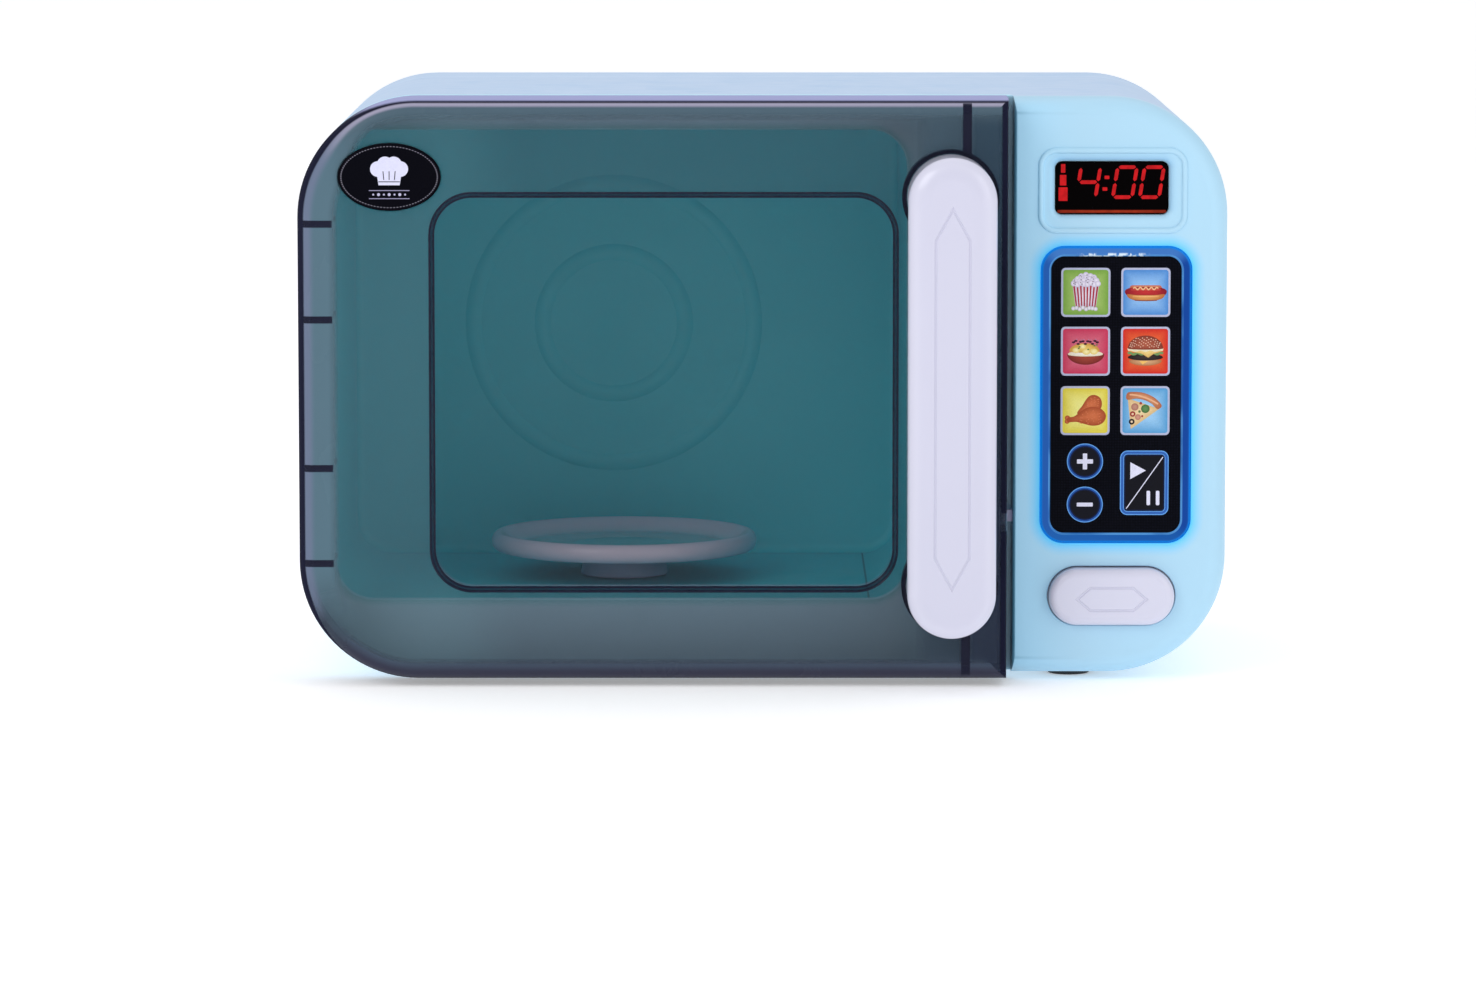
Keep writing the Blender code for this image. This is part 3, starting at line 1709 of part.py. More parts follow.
def make_speaker():
    front = rear_inside - fit_gap
    back = front - speaker_depth
    rim = front - speaker_rim_thickness
    profile = [
        (0, back),
        (speaker_magnet_radius, back),
        (speaker_magnet_radius, back + speaker_depth / 2),
        (speaker_radius - speaker_rim_thickness, rim),
        (speaker_radius, rim),
        (speaker_radius, front),
        (speaker_radius - speaker_rim_thickness, front),
        (speaker_magnet_radius, front - speaker_rim_thickness),
        (0, front - speaker_rim_thickness),
    ]
    return turned("speaker", profile, "Y", speaker_centre, round_steps)


def make_power_switch():
    """The sliding knob: a small block in the slot on a wider base behind the wall."""
    x, z = switch_centre
    x -= knob_travel / 2
    base_front = rear_inside - fit_gap
    base_back = base_front - knob_base_thickness
    half_width = knob_width / 2
    half_height = knob_height / 2
    knob = box(
        "power_switch",
        (x - half_width, x + half_width),
        (base_back, body_depth - fit_gap),
        (z - half_height, z + half_height),
    )
    margin = knob_base_margin
    base = box(
        "base",
        (x - half_width - margin, x + half_width + margin),
        (base_back, base_front),
        (z - half_height - margin, z + half_height + margin),
    )
    return join(knob, base)


def make_switch_body():
    x, z = switch_centre
    front = rear_inside - knob_base_thickness - 2 * fit_gap
    half_width = switch_body_width / 2
    half_height = switch_body_height / 2
    return box(
        "switch_body",
        (x - half_width, x + half_width),
        (front - switch_body_depth, front),
        (z - half_height, z + half_height),
    )


def make_battery_cover():
    x = bay_centre[0]
    cover = block("battery_cover", bay_cover_outline(0), "Y", levels(bay_cover_back, body_depth, 0, fit_gap))
    tabs = []
    for side in (-1, 1):
        middle = x + side * bay_tab_spread
        half = bay_tab_width / 2
        tabs.append(
            box(
                "tab",
                (middle - half, middle + half),
                (bay_cover_back - bay_wall, bay_cover_back + weld_depth),
                (bay_cover_low + bay_cover_margin + running_gap, bay_cover_low + 2 * bay_cover_margin),
            )
        )
        tabs.append(
            box(
                "tab_end",
                (middle - half, middle + half),
                (bay_cover_back - bay_wall, bay_cover_back - fit_gap - weld_depth),
                (bay_cover_low - bay_tab_reach, bay_cover_low + 2 * bay_cover_margin),
            )
        )
    join(cover, *tabs)
    place = (x, bay_screw_z)
    head_seat = body_depth - screw_head_height / 2 - fit_gap
    end = body_depth + cut_overrun
    holes = (
        rod("hole", "Y", place, screw_radius + fit_gap, bay_cover_back - cut_overrun, end),
        rod("head", "Y", place, screw_head_radius + fit_gap, head_seat, end),
    )
    return cut(cover, *holes)


def make_battery_cover_screw():
    seat = body_depth - screw_head_height / 2
    place = (bay_centre[0], bay_screw_z)
    profile = [
        (0, seat - bay_screw_length),
        (screw_radius, seat - bay_screw_length + screw_radius),
        (screw_radius, seat),
        (screw_head_radius, seat),
        (screw_head_radius, body_depth - fit_gap),
        (0, body_depth - fit_gap),
    ]
    return turned("battery_cover_screw", profile, "Y", place, small_round_steps)


def cell_x(number):
    return bay_centre[0] + cell_pitch * (number - (cell_count - 1) / 2)


def make_battery_cells():
    """Three AA cells side by side, each with its nub the other way round from its neighbour's."""
    cells = []
    depth = bay_floor + fit_gap + cell_radius
    for number in range(cell_count):
        up = 1 if number % 2 == 0 else -1
        start = bay_centre[1] - up * cell_length / 2
        shoulder = start + up * (cell_length - cell_nub_length)
        end = start + up * cell_length
        profile = [
            (0, start),
            (cell_radius, start),
            (cell_radius, shoulder),
            (cell_nub_radius, shoulder),
            (cell_nub_radius, end),
            (0, end),
        ]
        name = f"battery_cell_{number + 1}"
        cells.append(turned(name, profile, "Z", (cell_x(number), depth), round_steps // 2))
    return cells


def make_battery_contacts():
    """A metal strip at each end of the bay, with a bump against each cell."""
    strips = []
    depth = bay_floor + fit_gap + cell_radius
    half_width = cell_pitch + cell_nub_radius
    for name, side in (("battery_contacts_lower", -1), ("battery_contacts_upper", 1)):
        wall = bay_centre[1] + side * (bay_inner_height / 2 - fit_gap)
        face = wall - side * contact_thickness
        strip = box(
            name,
            (bay_centre[0] - half_width, bay_centre[0] + half_width),
            (bay_floor + fit_gap, bay_floor + fit_gap + contact_depth),
            sorted((wall, face)),
        )
        bumps = []
        for number in range(cell_count):
            profile = [
                (0, face + side * weld_depth),
                (contact_bump_radius, face + side * weld_depth),
                (contact_bump_radius / 2, face - side * contact_bump_height),
                (0, face - side * contact_bump_height),
            ]
            bumps.append(turned("bump", profile, "Z", (cell_x(number), depth), small_round_steps))
        strips.append(join(strip, *bumps))
    return strips


def make_feet():
    names = ("foot_front_left", "foot_front_right", "foot_rear_left", "foot_rear_right")
    profile = [
        (0, -foot_height),
        (foot_radius - foot_taper, -foot_height),
        (foot_radius, -foot_height + foot_taper),
        (foot_radius, -fit_gap),
        (foot_plug_radius, -fit_gap),
        (foot_plug_radius, shell_wall),
        (0, shell_wall),
    ]
    return [turned(name, profile, "Z", place, round_steps // 2) for name, place in zip(names, foot_places())]


# Colours and placing

def finish(name, colour, roughness, metallic=0.0, alpha=1.0):
    material = bpy.data.materials.new(name)
    material.use_nodes = True
    shader = material.node_tree.nodes["Principled BSDF"]
    shader.inputs["Base Color"].default_value = (*colour, 1)
    shader.inputs["Roughness"].default_value = roughness
    shader.inputs["Metallic"].default_value = metallic
    shader.inputs["Alpha"].default_value = alpha
    return material


finishes = {
    "casing_blue": ((0.46, 0.72, 0.86), 0.35),
    "liner_teal": ((0.10, 0.42, 0.46), 0.40),
    "smoked": ((0.10, 0.13, 0.15), 0.12, 0.0, 0.45),
    "white": ((0.80, 0.80, 0.86), 0.30),
    "milky": ((0.62, 0.63, 0.70), 0.30),
    "hub_grey": ((0.45, 0.48, 0.55), 0.40),
    "badge_black": ((0.01, 0.01, 0.012), 0.30),
    "lens_black": ((0.005, 0.005, 0.006), 0.08),
    "ring_blue": ((0.03, 0.20, 0.60), 0.25),
    "overlay_black": ((0.006, 0.008, 0.02), 0.25),
    "latch_grey": ((0.20, 0.23, 0.30), 0.40),
    "board_green": ((0.02, 0.16, 0.07), 0.45),
    "gear_white": ((0.70, 0.70, 0.66), 0.40),
    "box_grey": ((0.16, 0.17, 0.18), 0.45),
    "steel": ((0.60, 0.60, 0.62), 0.28, 1.0),
    "tin": ((0.70, 0.68, 0.62), 0.30, 1.0),
    "cell_wrap": ((0.05, 0.22, 0.12), 0.35),
    "rubber": ((0.03, 0.03, 0.035), 0.80),
}


def coloured(pieces, name):
    material = bpy.data.materials.get(name) or finish(name, *finishes[name])
    for piece in pieces:
        piece.data.materials.clear()
        piece.data.materials.append(material)
        piece.data.shade_smooth()
        piece.data.set_sharp_from_angle(angle=math.radians(35))


def empty(name, location, parent=None):
    obj = bpy.data.objects.new(name, None)
    obj.location = location
    obj.parent = parent
    bpy.context.collection.objects.link(obj)
    return obj


def hang(pieces, axis_empty):
    """Puts pieces under an empty on their joint's axis, with their shape where it was."""
    for piece in pieces:
        piece.data.transform(Matrix.Translation(-axis_empty.location))
        piece.parent = axis_empty


def build():
    housing = make_front_housing()
    cover = make_rear_cover()
    door = make_door_shell()
    handle = make_door_handle()
    badge = make_door_badge()
    handle_screws = make_handle_screws()
    hinge_pins = make_hinge_pins()
    button = make_release_button()
    lever = make_latch_lever()
    lever_pin = make_latch_pin()
    spring = make_latch_spring()
    lens = make_display_lens()
    module = make_display_module()
    ring = make_light_ring()
    overlay = make_touch_overlay()
    boards = [make_touch_board(), make_main_board()]
    liner = make_cavity_liner()
    plate = make_turntable_plate()
    hub = make_turntable_hub()
    gear = make_turntable_gear()
    pinion = make_drive_pinion()
    gear_box = make_gear_box()
    motor = make_drive_motor()
    speaker = make_speaker()
    knob = make_power_switch()
    switch_body = make_switch_body()
    bay_cover = make_battery_cover()
    bay_screw = make_battery_cover_screw()
    cells = make_battery_cells()
    contacts = make_battery_contacts()
    feet = make_feet()
    screws = make_liner_screws() + make_rear_screws()

    coloured([housing, cover, bay_cover], "casing_blue")
    coloured([liner], "liner_teal")
    coloured([door], "smoked")
    coloured([handle, button], "white")
    coloured([plate], "milky")
    coloured([hub], "hub_grey")
    coloured([badge], "badge_black")
    coloured([lens], "lens_black")
    coloured([ring], "ring_blue")
    coloured([overlay], "overlay_black")
    coloured([lever], "latch_grey")
    coloured(boards, "board_green")
    coloured([gear, pinion], "gear_white")
    coloured([gear_box, module, switch_body, knob, speaker], "box_grey")
    coloured(handle_screws + hinge_pins + [lever_pin, spring, bay_screw, motor] + screws, "steel")
    coloured(contacts, "tin")
    coloured(cells, "cell_wrap")
    coloured(feet, "rubber")

    stand = empty("standing_place", (0, panel_face_y, foot_height))
    door_axis = empty("door_axis", (hinge_x, hinge_y, 0), stand)
    button_axis = empty("button_axis", (button_centre[0], 0, button_centre[1]), stand)
    lever_axis = empty("lever_axis", (lever_axis_x, lever_axis_y, 0), stand)
    turntable_axis = empty("turntable_axis", (turntable_x, turntable_depth, 0), stand)
    pinion_axis = empty("pinion_axis", (pinion_x, turntable_depth, 0), stand)
    switch_axis = empty("switch_axis", (switch_centre[0], body_depth, switch_centre[1]), stand)
    hang([door, handle, badge] + handle_screws + hinge_pins, door_axis)
    hang([button], button_axis)
    hang([lever], lever_axis)
    hang([plate, hub, gear], turntable_axis)
    hang([pinion], pinion_axis)
    hang([knob], switch_axis)
    still = [housing, cover, liner, lever_pin, spring, lens, module, ring, overlay, gear_box, motor, speaker]
    still += [switch_body, bay_cover, bay_screw] + boards + cells + contacts + feet + screws
    for piece in still:
        piece.parent = stand


build()
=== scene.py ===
import math
from functools import reduce

import bmesh
import bpy
import numpy as np
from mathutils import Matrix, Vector


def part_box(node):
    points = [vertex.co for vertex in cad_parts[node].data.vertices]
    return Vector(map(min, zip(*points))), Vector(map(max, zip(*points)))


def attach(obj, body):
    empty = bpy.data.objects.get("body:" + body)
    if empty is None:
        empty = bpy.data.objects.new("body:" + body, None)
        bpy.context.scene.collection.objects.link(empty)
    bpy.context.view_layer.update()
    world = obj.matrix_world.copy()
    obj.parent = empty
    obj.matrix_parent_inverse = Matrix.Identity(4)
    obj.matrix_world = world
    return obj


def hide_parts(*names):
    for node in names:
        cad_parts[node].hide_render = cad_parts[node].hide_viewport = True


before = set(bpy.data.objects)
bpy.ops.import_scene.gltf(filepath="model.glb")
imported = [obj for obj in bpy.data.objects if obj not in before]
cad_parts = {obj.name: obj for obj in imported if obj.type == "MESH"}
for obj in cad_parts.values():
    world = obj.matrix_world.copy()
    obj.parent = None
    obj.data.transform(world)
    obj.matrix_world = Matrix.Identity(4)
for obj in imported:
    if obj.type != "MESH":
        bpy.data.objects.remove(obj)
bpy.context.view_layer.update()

print("frame loaded:", len(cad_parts), "nodes")

# Places are in millimetres in the oven's own space: X = 0 is the casing's middle, Y = 0 the control panel's face
# (+Y goes into the casing) and Z = 0 the casing's underside.
casing = {"depth": 165.0, "corner": 38.3, "wall": 2.5, "parting": 127.0, "partingGap": 0.3, "partingChamfer": 0.6}
millimetre = 0.001
coverLow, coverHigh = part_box("rear_cover")
origin = np.array([0.0, coverHigh.y - casing["depth"] * millimetre, coverLow.z])
casingWidth = (coverHigh.x - coverLow.x) / millimetre
casingHeight = (coverHigh.z - coverLow.z) / millimetre
overrun = 2.0        # how far a cutter runs past what it cuts


def nodeBox(name):        # lowest and highest corner of a CAD node, in millimetres
    low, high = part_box(name)
    return (np.array(low) - origin) / millimetre, (np.array(high) - origin) / millimetre


def middleOf(name):        # the middle of a CAD node in X and Z
    low, high = nodeBox(name)
    return (low + high)[[0, 2]] / 2


def toWorld(points):
    return np.asarray(points, float) * millimetre + origin


def newObject(name, data):
    obj = bpy.data.objects.new(name, data)
    bpy.context.scene.collection.objects.link(obj)
    return obj


def quarter(steps):
    return np.radians(np.linspace(0, 90, steps + 1))


# Outlines. Each is a function of its inset, and gives points (n, 2).

def arc(centre, radius, start, end, steps):
    # centre + radius (cos a, sin a), with a from start to end
    a = np.radians(np.linspace(start, end, steps + 1))
    return np.stack([centre[0] + radius * np.cos(a), centre[1] + radius * np.sin(a)], 1)


def roundRect(centre, width, height, corner, steps=10):
    # four quarter arcs of radius (corner - inset) about the corners' own centres
    across, up = width / 2 - corner, height / 2 - corner

    def outline(inset=0.0):
        turns = ((1, 1, 0), (-1, 1, 90), (-1, -1, 180), (1, -1, 270))
        return np.concatenate([
            arc((centre[0] + x * across, centre[1] + z * up), corner - inset, a, a + 90, steps) for x, z, a in turns
        ])
    return outline


def pill(centre, width, height, steps=16):
    return roundRect(centre, width, height, min(width, height) / 2, steps)


def oval(centre, width, height, steps=96):
    # centre + ((width / 2 - inset) cos a, (height / 2 - inset) sin a)
    a = np.linspace(0, 2 * np.pi, steps, endpoint=False)
    return lambda inset=0.0: np.stack(
        [centre[0] + (width / 2 - inset) * np.cos(a), centre[1] + (height / 2 - inset) * np.sin(a)], 1)


def polygon(corners):
    # each corner moves in by inset (m + n) / (1 + m . n), where m and n are the inward normals of its two sides
    p = np.asarray(corners, float)
    along = np.roll(p, -1, 0) - p
    along /= np.linalg.norm(along, axis=1)[:, None]
    area = np.sum(p[:, 0] * np.roll(p[:, 1], -1) - np.roll(p[:, 0], -1) * p[:, 1])
    normal = np.stack([-along[:, 1], along[:, 0]], 1) * np.sign(area)
    before = np.roll(normal, 1, 0)
    move = (normal + before) / (1 + np.sum(normal * before, 1))[:, None]
    return lambda inset=0.0: p + inset * move


def bodyOutline(wall=0.0, left=None, right=None, sideShare=1.0, steps=24):
    # the casing's round rectangle drawn in by wall + inset; a side given as left or right is straight and square
    across, low, high = casingWidth / 2 - casing["corner"], casing["corner"], casingHeight - casing["corner"]

    def outline(inset=0.0):
        inside, points = wall + inset, []
        for x, z, a in ((1, high, 0), (-1, high, 90), (-1, low, 180), (1, low, 270)):
            straight = right if x > 0 else left
            if straight is None:
                points.append(arc((x * across, z), casing["corner"] - inside, a, a + 90, steps))
            else:
                points.append([(straight - x * sideShare * inset, inside if z == low else casingHeight - inside)])
        return np.concatenate(points)
    return outline


def hexagon(centre, length, halfWidth, shoulder, upright):
    # a long hexagon with its two points on its long axis
    half = length / 2
    corners = np.array([(half, 0), (half - shoulder, halfWidth), (shoulder - half, halfWidth), (-half, 0),
                        (shoulder - half, -halfWidth), (half - shoulder, -halfWidth)])
    if upright:
        corners = np.stack([-corners[:, 1], corners[:, 0]], 1)
    return polygon(corners + centre)


# Levels. Each is a list of (inset, place) from one end of a solid to the other.

def edgeLevels(start, end, startRound=0.0, endRound=0.0, steps=8):
    # a round end: inset = r (1 - sin a), place = r (1 - cos a) from that end
    a = quarter(steps)
    first, last = [(0.0, start)], [(0.0, end)]
    if startRound:
        first = list(zip(startRound * (1 - np.sin(a)), start + startRound * (1 - np.cos(a))))
    if endRound:
        last = list(zip(endRound * (1 - np.cos(a)), end - endRound * (1 - np.sin(a))))
    return first + last


def holeLevels(front, back, mouthRound, steps=5):
    # a cutter whose mouth widens in a quarter circle, so that the hole's edge comes out round
    a = quarter(steps)
    mouth = list(zip(-mouthRound * (1 - np.sin(a)), front + mouthRound * (1 - np.cos(a))))
    return [(-mouthRound, front - overrun)] + mouth + [(0.0, back)]


def openLevels(start, end, widen=0.0, bevel=0.3):
    # a cutter that opens at the end with a bevelled edge
    return [(-widen, start), (-widen, end - bevel), (-widen - bevel, end), (-widen - bevel, end + overrun)]


def grooveLevels(front, width, depth, steps=6):
    # a closed ring: across the groove, place = front + depth sin a
    a = np.linspace(0, np.pi, steps + 1)
    floor = list(zip(width * (1 - np.cos(a)) / 2, front + depth * np.sin(a)))
    return [(0.0, front - overrun)] + floor + [(width, front - overrun)]


# Solids

def gridSolid(name, points, ring=False):
    # points (rows, columns, 3): each row is a closed outline, and quads join it to the next; the ends get caps
    rows, columns = points.shape[:2]
    i = np.arange(rows if ring else rows - 1)[:, None] * columns
    j = np.arange(columns)[None, :]
    onward, around = (i + columns) % (rows * columns), (j + 1) % columns
    faces = np.stack([i + j, i + around, onward + around, onward + j], -1).reshape(-1, 4).tolist()
    if not ring:
        faces += [list(range(columns)), list(range((rows - 1) * columns, rows * columns))]
    mesh = bpy.data.meshes.new(name)
    mesh.from_pydata(toWorld(points.reshape(-1, 3)).tolist(), [], faces)
    closeSeams(mesh)
    return newObject(name, mesh)


def closeSeams(mesh):        # merges the points that meet, and turns the faces outwards
    shape = bmesh.new()
    shape.from_mesh(mesh)
    bmesh.ops.remove_doubles(shape, verts=shape.verts, dist=2e-6)
    bmesh.ops.dissolve_degenerate(shape, edges=shape.edges, dist=1e-6)
    bmesh.ops.recalc_face_normals(shape, faces=shape.faces)
    shape.to_mesh(mesh)
    shape.free()


def placed(flat, along, axis):
    return np.insert(flat, "XYZ".index(axis), along, axis=-1)


def layered(name, outline, levels, axis="Y", ring=False):
    # point(i, j) = outline_j(inset_i), moved to place_i along the axis
    return gridSolid(name, np.stack([placed(outline(inset), along, axis) for inset, along in levels]), ring)


def turned(name, profile, centre, axis="Z", steps=96, ring=False):
    # point(i, j) = centre + radius_i (cos a_j, sin a_j), at place_i along the axis
    radius, along = np.asarray(profile, float).T
    a = np.linspace(0, 2 * np.pi, steps, endpoint=False)
    flat = np.stack([centre[0] + radius[:, None] * np.cos(a), centre[1] + radius[:, None] * np.sin(a)], -1)
    return gridSolid(name, np.stack([placed(row, y, axis) for row, y in zip(flat, along)]), ring)


def rod(name, radius, ends, centre, axis, steps):
    return turned(name, [(radius, ends[0]), (radius, ends[1])], centre, axis, steps)


def block(name, xs, ys, zs):
    corners = polygon([(xs[0], zs[0]), (xs[1], zs[0]), (xs[1], zs[1]), (xs[0], zs[1])])
    return layered(name, corners, [(0, ys[0]), (0, ys[1])])


def shaped(target, operation, tools):        # cuts the tools from the target or joins them to it
    for tool in tools:
        modifier = target.modifiers.new("shape", "BOOLEAN")
        modifier.operation, modifier.solver, modifier.object = operation, "EXACT", tool
        graph = bpy.context.evaluated_depsgraph_get()
        mesh = bpy.data.meshes.new_from_object(target.evaluated_get(graph))
        target.modifiers.clear()
        closeSeams(mesh)
        target.data = mesh
        bpy.data.objects.remove(tool)


def cut(target, *tools):
    shaped(target, "DIFFERENCE", tools)


def join(target, *tools):
    shaped(target, "UNION", tools)


def gathered(name, solids):        # several closed bodies as one piece
    shape = bmesh.new()
    for solid in solids:
        shape.from_mesh(solid.data)
        bpy.data.objects.remove(solid)
    mesh = bpy.data.meshes.new(name)
    shape.to_mesh(mesh)
    shape.free()
    return newObject(name, mesh)


def finished(obj, material, body, replaces, sharp=32):
    obj.data.materials.clear()
    obj.data.materials.append(material)
    obj.data.shade_smooth()
    obj.data.set_sharp_from_angle(angle=math.radians(sharp))
    obj.modifiers.new("normals", "WEIGHTED_NORMAL").keep_sharp = True
    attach(obj, body)
    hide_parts(*replaces)


# Nodes. Each helper works in the tree that it is given, or in that of the sockets that it is given.

def srgb(red, green, blue):
    c = np.array([red, green, blue]) / 255
    return (*np.where(c <= 0.04045, c / 12.92, ((c + 0.055) / 1.055) ** 2.4), 1.0)


def isSocket(value):
    return isinstance(value, bpy.types.NodeSocket)


def feed(inputs, values):        # links the sockets among the values and sets the others
    for name, value in values.items():
        if isSocket(value):
            value.id_data.links.new(value, inputs[name])
        else:
            inputs[name].default_value = value


def addNode(tree, kind, values=None, **settings):
    node = tree.nodes.new("ShaderNode" + kind)
    for name, value in settings.items():
        setattr(node, name, value)
    feed(node.inputs, values or {})
    return node


def treeOf(values):        # the tree of the first socket
    return next(value.id_data for value in values if isSocket(value))


def calc(operation, *values, clamp=False):
    return addNode(treeOf(values), "Math", dict(enumerate(values)), operation=operation, use_clamp=clamp).outputs[0]


def times(*values):
    return reduce(lambda a, b: calc("MULTIPLY", a, b), values)


def largest(*values):
    return reduce(lambda a, b: calc("MAXIMUM", a, b), values)


def minus(a, b):
    return calc("SUBTRACT", a, b)


def scaled(value, factor, offset, clamp=False):
    return calc("MULTIPLY_ADD", value, factor, offset, clamp=clamp)


def away(value, centre):
    return calc("ABSOLUTE", minus(value, centre))


def diagonal(a, b):
    return calc("SQRT", calc("ADD", times(a, a), times(b, b)))


def ramp(value, low, high, atLow=0.0, atHigh=1.0, smooth=True):        # atLow below low, atHigh above high
    values = {"Value": value, "From Min": low, "From Max": high, "To Min": atLow, "To Max": atHigh}
    kind = "SMOOTHSTEP" if smooth else "LINEAR"
    return addNode(value.id_data, "MapRange", values, interpolation_type=kind).outputs["Result"]


def band(value, low, high, soft):        # 1 between low and high
    return times(ramp(value, low - soft, low), ramp(value, high + soft, high))


def mixed(factor, a, b, blend="MIX"):
    values = {0: factor, 6: a, 7: b}
    return addNode(treeOf(values.values()), "Mix", values, data_type="RGBA", blend_type=blend).outputs[2]


def tinted(colour, tint):
    return mixed(1.0, colour, tint, "MULTIPLY")


def spotIn(tree):
    return addNode(tree, "TexCoord").outputs["Object"]


def noise(vector, scale, detail=2.0):
    return addNode(vector.id_data, "TexNoise", {"Vector": vector, "Scale": scale, "Detail": detail}).outputs[0]


def cells(vector, scale, values=None, **settings):
    values = {"Vector": vector, "Scale": scale, **(values or {})}
    return addNode(vector.id_data, "TexVoronoi", values, **settings).outputs["Distance"]


def stretched(vector, scale, turn=(0.0, 0.0, 0.0)):
    return addNode(vector.id_data, "Mapping", {"Vector": vector, "Scale": scale, "Rotation": turn}).outputs[0]


def split(vector):
    return addNode(vector.id_data, "SeparateXYZ", {0: vector}).outputs


def facing(tree):        # the normal's X, Y and Z in the piece's own space
    return split(addNode(tree, "TexCoord").outputs["Normal"])


def millimetres(tree):        # X, Y and Z in the oven's own space
    return [scaled(part, 1 / millimetre, -start / millimetre) for part, start in zip(split(spotIn(tree)), origin)]


def relief(height, strength, distance):
    return addNode(height.id_data, "Bump", {"Strength": strength, "Distance": distance, "Height": height}).outputs[0]


def newGroup(name, inputs, outputs):
    group = bpy.data.node_groups.new(name, "ShaderNodeTree")
    for label, value in inputs.items():
        kind = "NodeSocketColor" if isinstance(value, tuple) else "NodeSocketFloat"
        group.interface.new_socket(label, in_out="INPUT", socket_type=kind).default_value = value
    for label in outputs:
        kind = "NodeSocketColor" if "Colour" in label else "NodeSocketFloat"
        group.interface.new_socket(label, in_out="OUTPUT", socket_type=kind)
    return group, group.nodes.new("NodeGroupInput").outputs, group.nodes.new("NodeGroupOutput").inputs


def useGroup(tree, group, values):
    return addNode(tree, "Group", values, node_tree=group).outputs


def moulding():
    # colour cloud and roughness cloud from broad noise, height from fine grain
    group, given, result = newGroup(
        "moulded grain", {"Colour": (0.5, 0.5, 0.5, 1.0), "Cloud": 0.04, "Roughness": 0.4, "Grain": 900.0},
        ["Colour", "Roughness", "Height"])
    spot = spotIn(group)
    mid = noise(spot, 140.0)
    swing = scaled(minus(noise(spot, 22.0, 3.0), 0.5), given["Cloud"], 1.0)
    grey = addNode(group, "CombineColor", {"Red": swing, "Green": swing, "Blue": swing}).outputs[0]
    feed(result, {"Colour": tinted(given["Colour"], grey),
                  "Roughness": scaled(minus(mid, 0.5), 0.16, given["Roughness"], clamp=True),
                  "Height": scaled(mid, 0.35, noise(spot, given["Grain"], 3.0))})
    return group


def edgeWearing():
    # mask = how far the rounded normal turns from the true one, broken up by noise
    group, given, result = newGroup(
        "edge wear", {"Colour": (0.5, 0.5, 0.5, 1.0), "Worn Colour": (1.0, 1.0, 1.0, 1.0), "Amount": 0.3,
                      "Radius": 0.0006}, ["Colour"])
    rounded = addNode(group, "Bevel", {"Radius": given["Radius"]}, samples=4).outputs[0]
    true = addNode(group, "NewGeometry").outputs["Normal"]
    turn = addNode(group, "VectorMath", {0: rounded, 1: true}, operation="DOT_PRODUCT").outputs["Value"]
    patches = noise(spotIn(group), 90.0, 4.0)
    mask = times(ramp(turn, 0.995, 0.86), ramp(patches, 0.35, 0.7), given["Amount"])
    feed(result, {"Colour": mixed(mask, given["Colour"], given["Worn Colour"])})
    return group


def handling():
    # faint rubbed streaks and fingertip patches, put into the roughness, with a little dust where it faces up
    group, given, result = newGroup(
        "handling", {"Roughness": 0.3, "Smear": 0.12, "Colour": (0.5, 0.5, 0.5, 1.0), "Dust": 0.05},
        ["Roughness", "Colour"])
    spot = spotIn(group)
    streak = noise(stretched(spot, (60.0, 60.0, 14.0)), 1.0, 5.0)
    tips = cells(spot, 34.0, feature="SMOOTH_F1")
    rub = times(ramp(streak, 0.45, 0.75), ramp(tips, 0.55, 0.2))
    upward = split(addNode(group, "NewGeometry").outputs["Normal"])["Z"]
    dust = times(ramp(upward, 0.6, 1.0), noise(spot, 700.0), given["Dust"])
    feed(result, {"Roughness": scaled(rub, given["Smear"], given["Roughness"], clamp=True),
                  "Colour": mixed(dust, given["Colour"], (0.8, 0.79, 0.77, 1.0))})
    return group


def framing():
    # distance in millimetres from a round rectangle in X and Z, negative inside:
    # |max(|p - c| - (h - r), 0)| + min(max(|p - c| - (h - r)), 0) - r; Rise is 1 next to its top and -1 at its foot
    group, given, result = newGroup(
        "frame distance", {"Centre X": 0.0, "Centre Z": 0.0, "Half Width": 1.0, "Half Height": 1.0, "Corner": 0.1},
        ["Distance", "Depth", "Rise"])
    x, depth, z = millimetres(group)
    beyond = [minus(away(value, given[middle]), minus(given[half], given["Corner"]))
              for value, middle, half in ((x, "Centre X", "Half Width"), (z, "Centre Z", "Half Height"))]
    out = [calc("MAXIMUM", value, 0.0) for value in beyond]
    length = diagonal(*out)
    inner = calc("MINIMUM", largest(*beyond), 0.0)
    upward = times(out[1], calc("SIGN", minus(z, given["Centre Z"])))
    feed(result, {"Distance": minus(calc("ADD", length, inner), given["Corner"]), "Depth": depth,
                  "Rise": calc("DIVIDE", upward, largest(length, 0.001))})
    return group


mouldedGrain, edgeWear, handled, frameDistance = moulding(), edgeWearing(), handling(), framing()


def distanceTo(tree, centre, width, height, corner):
    return useGroup(tree, frameDistance, {"Centre X": centre[0], "Centre Z": centre[1], "Half Width": width / 2,
                                          "Half Height": height / 2, "Corner": corner})


def newMaterial(name, **plain):        # plain values go on the shader's own sockets
    material = bpy.data.materials.new(name)
    material.use_nodes = True
    shader = material.node_tree.nodes["Principled BSDF"]
    feed(shader.inputs, plain)
    return material, material.node_tree, shader.inputs


def grained(tree, colour, cloud, roughness, grain):
    return useGroup(tree, mouldedGrain, {"Colour": colour, "Cloud": cloud, "Roughness": roughness, "Grain": grain})


def rubbed(shader, colour, roughness, smear, dust):
    last = useGroup(colour.id_data, handled, {"Roughness": roughness, "Smear": smear, "Colour": colour, "Dust": dust})
    feed(shader, {"Base Color": last["Colour"], "Roughness": last["Roughness"]})
    return last["Roughness"]


